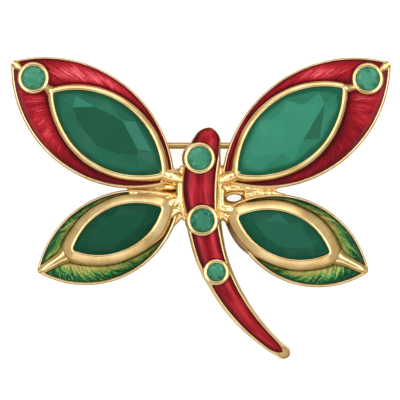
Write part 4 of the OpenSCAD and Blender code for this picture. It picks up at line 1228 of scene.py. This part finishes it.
# %% Finish the findings
FINDINGS = {"hinge_lug": GILT, "catch": GILT, "hinge_rivet": WIRE_GILT, "pin_stem": WIRE_GILT}
for name, material in FINDINGS.items():
    for slot in frame["nodes"][name].material_slots:
        slot.material = material
    print(name, "takes", material.name)

# %% [markdown]
# ## Studio
# The brooch was photographed from straight above on a white sheet, between two soft lamps, with the dark lens
# over it. Polished metal and enamel only look right when they have something to mirror, so the two lamps
# stand left and right, a gentler one behind and one in front, and the sky between them is dim. The sheet is
# clear from below, so that the back of the brooch can be looked at as well.

# %% Floor
SHEET_HALF = 0.6
paper, tree, shader = principled("white_paper")
seen = node(tree, "ShaderNodeLightPath").outputs["Is Camera Ray"]
fill(shader, {"Base Color": (0.86, 0.86, 0.86, 1.0), "Roughness": 0.8, "Emission Color": (1.0, 1.0, 1.0, 1.0),
              "Emission Strength": math_node(tree, "MULTIPLY", seen, 0.8)})
below = node(tree, "ShaderNodeNewGeometry").outputs["Backfacing"]
clear = node(tree, "ShaderNodeBsdfTransparent").outputs[0]
sides = node(tree, "ShaderNodeMixShader", {0: below, 1: shader.outputs[0], 2: clear})
fill(tree.nodes["Material Output"], {"Surface": sides.outputs[0]})
bm = bmesh.new()
bmesh.ops.create_grid(bm, x_segments=1, y_segments=1, size=SHEET_HALF)
floor = finish_mesh("paper_sheet", bm, paper)
print("sheet width, mm:", round(floor.dimensions.x * 1000))

# %% Lamps and sky
def softbox(name, azimuth, zenith, distance, across, deep, power):
    """Lamp that faces the brooch. Its depth runs up and down the sky and its width along the horizon."""
    lamp = bpy.data.lights.new(name, "AREA")
    lamp.shape = "RECTANGLE"
    lamp.size, lamp.size_y = across, deep
    lamp.energy = power
    obj = add_object(name, lamp)
    a, z = math.radians(azimuth), math.radians(zenith)
    obj.location = Vector((math.sin(z) * math.cos(a), math.sin(z) * math.sin(a), math.cos(z))) * distance
    obj.rotation_euler = obj.location.normalized().to_track_quat("Z", "Y").to_euler()


softbox("lamp_left", 180, 26, 0.40, 0.34, 0.13, 0.42)
softbox("lamp_right", 0, 26, 0.40, 0.34, 0.13, 0.40)
softbox("lamp_back", 90, 45, 0.45, 0.40, 0.20, 0.27)
softbox("lamp_front", 270, 45, 0.45, 0.40, 0.20, 0.15)
world = bpy.data.worlds.new("sky")
bpy.context.scene.world = world
world.use_nodes = True
sky = world.node_tree
height = parts_of(sky, node(sky, "ShaderNodeTexCoord").outputs["Generated"])["Z"]
tent = ramp(sky, height, [(0.0, (0.10, 0.08, 0.06)), (0.20, (0.24, 0.20, 0.16)), (0.42, (0.80, 0.73, 0.64)),
                          (0.62, (0.85, 0.82, 0.78)), (0.80, (0.95, 0.95, 0.95)), (0.97, (0.50, 0.50, 0.51))])
fill(sky.nodes["Background"], {"Color": tent, "Strength": 0.75})

# %% Camera straight above
PICTURE_WIDTH, SHARP_HEIGHT = 0.048, 0.005
PICTURE_MIDDLE = (-0.0001, 0.00108)
lens = bpy.data.cameras.new("camera")
lens.lens = 250
lens.sensor_width = 36
lens.clip_start, lens.clip_end = 0.01, 10
camera = add_object("camera", lens)
camera.location = (*PICTURE_MIDDLE, SHARP_HEIGHT + PICTURE_WIDTH / lens.sensor_width * lens.lens)
bpy.context.scene.camera = camera
bpy.context.scene.view_settings.view_transform = "Standard"
print("camera height above the brooch, mm:", round(camera.location.z * 1000))
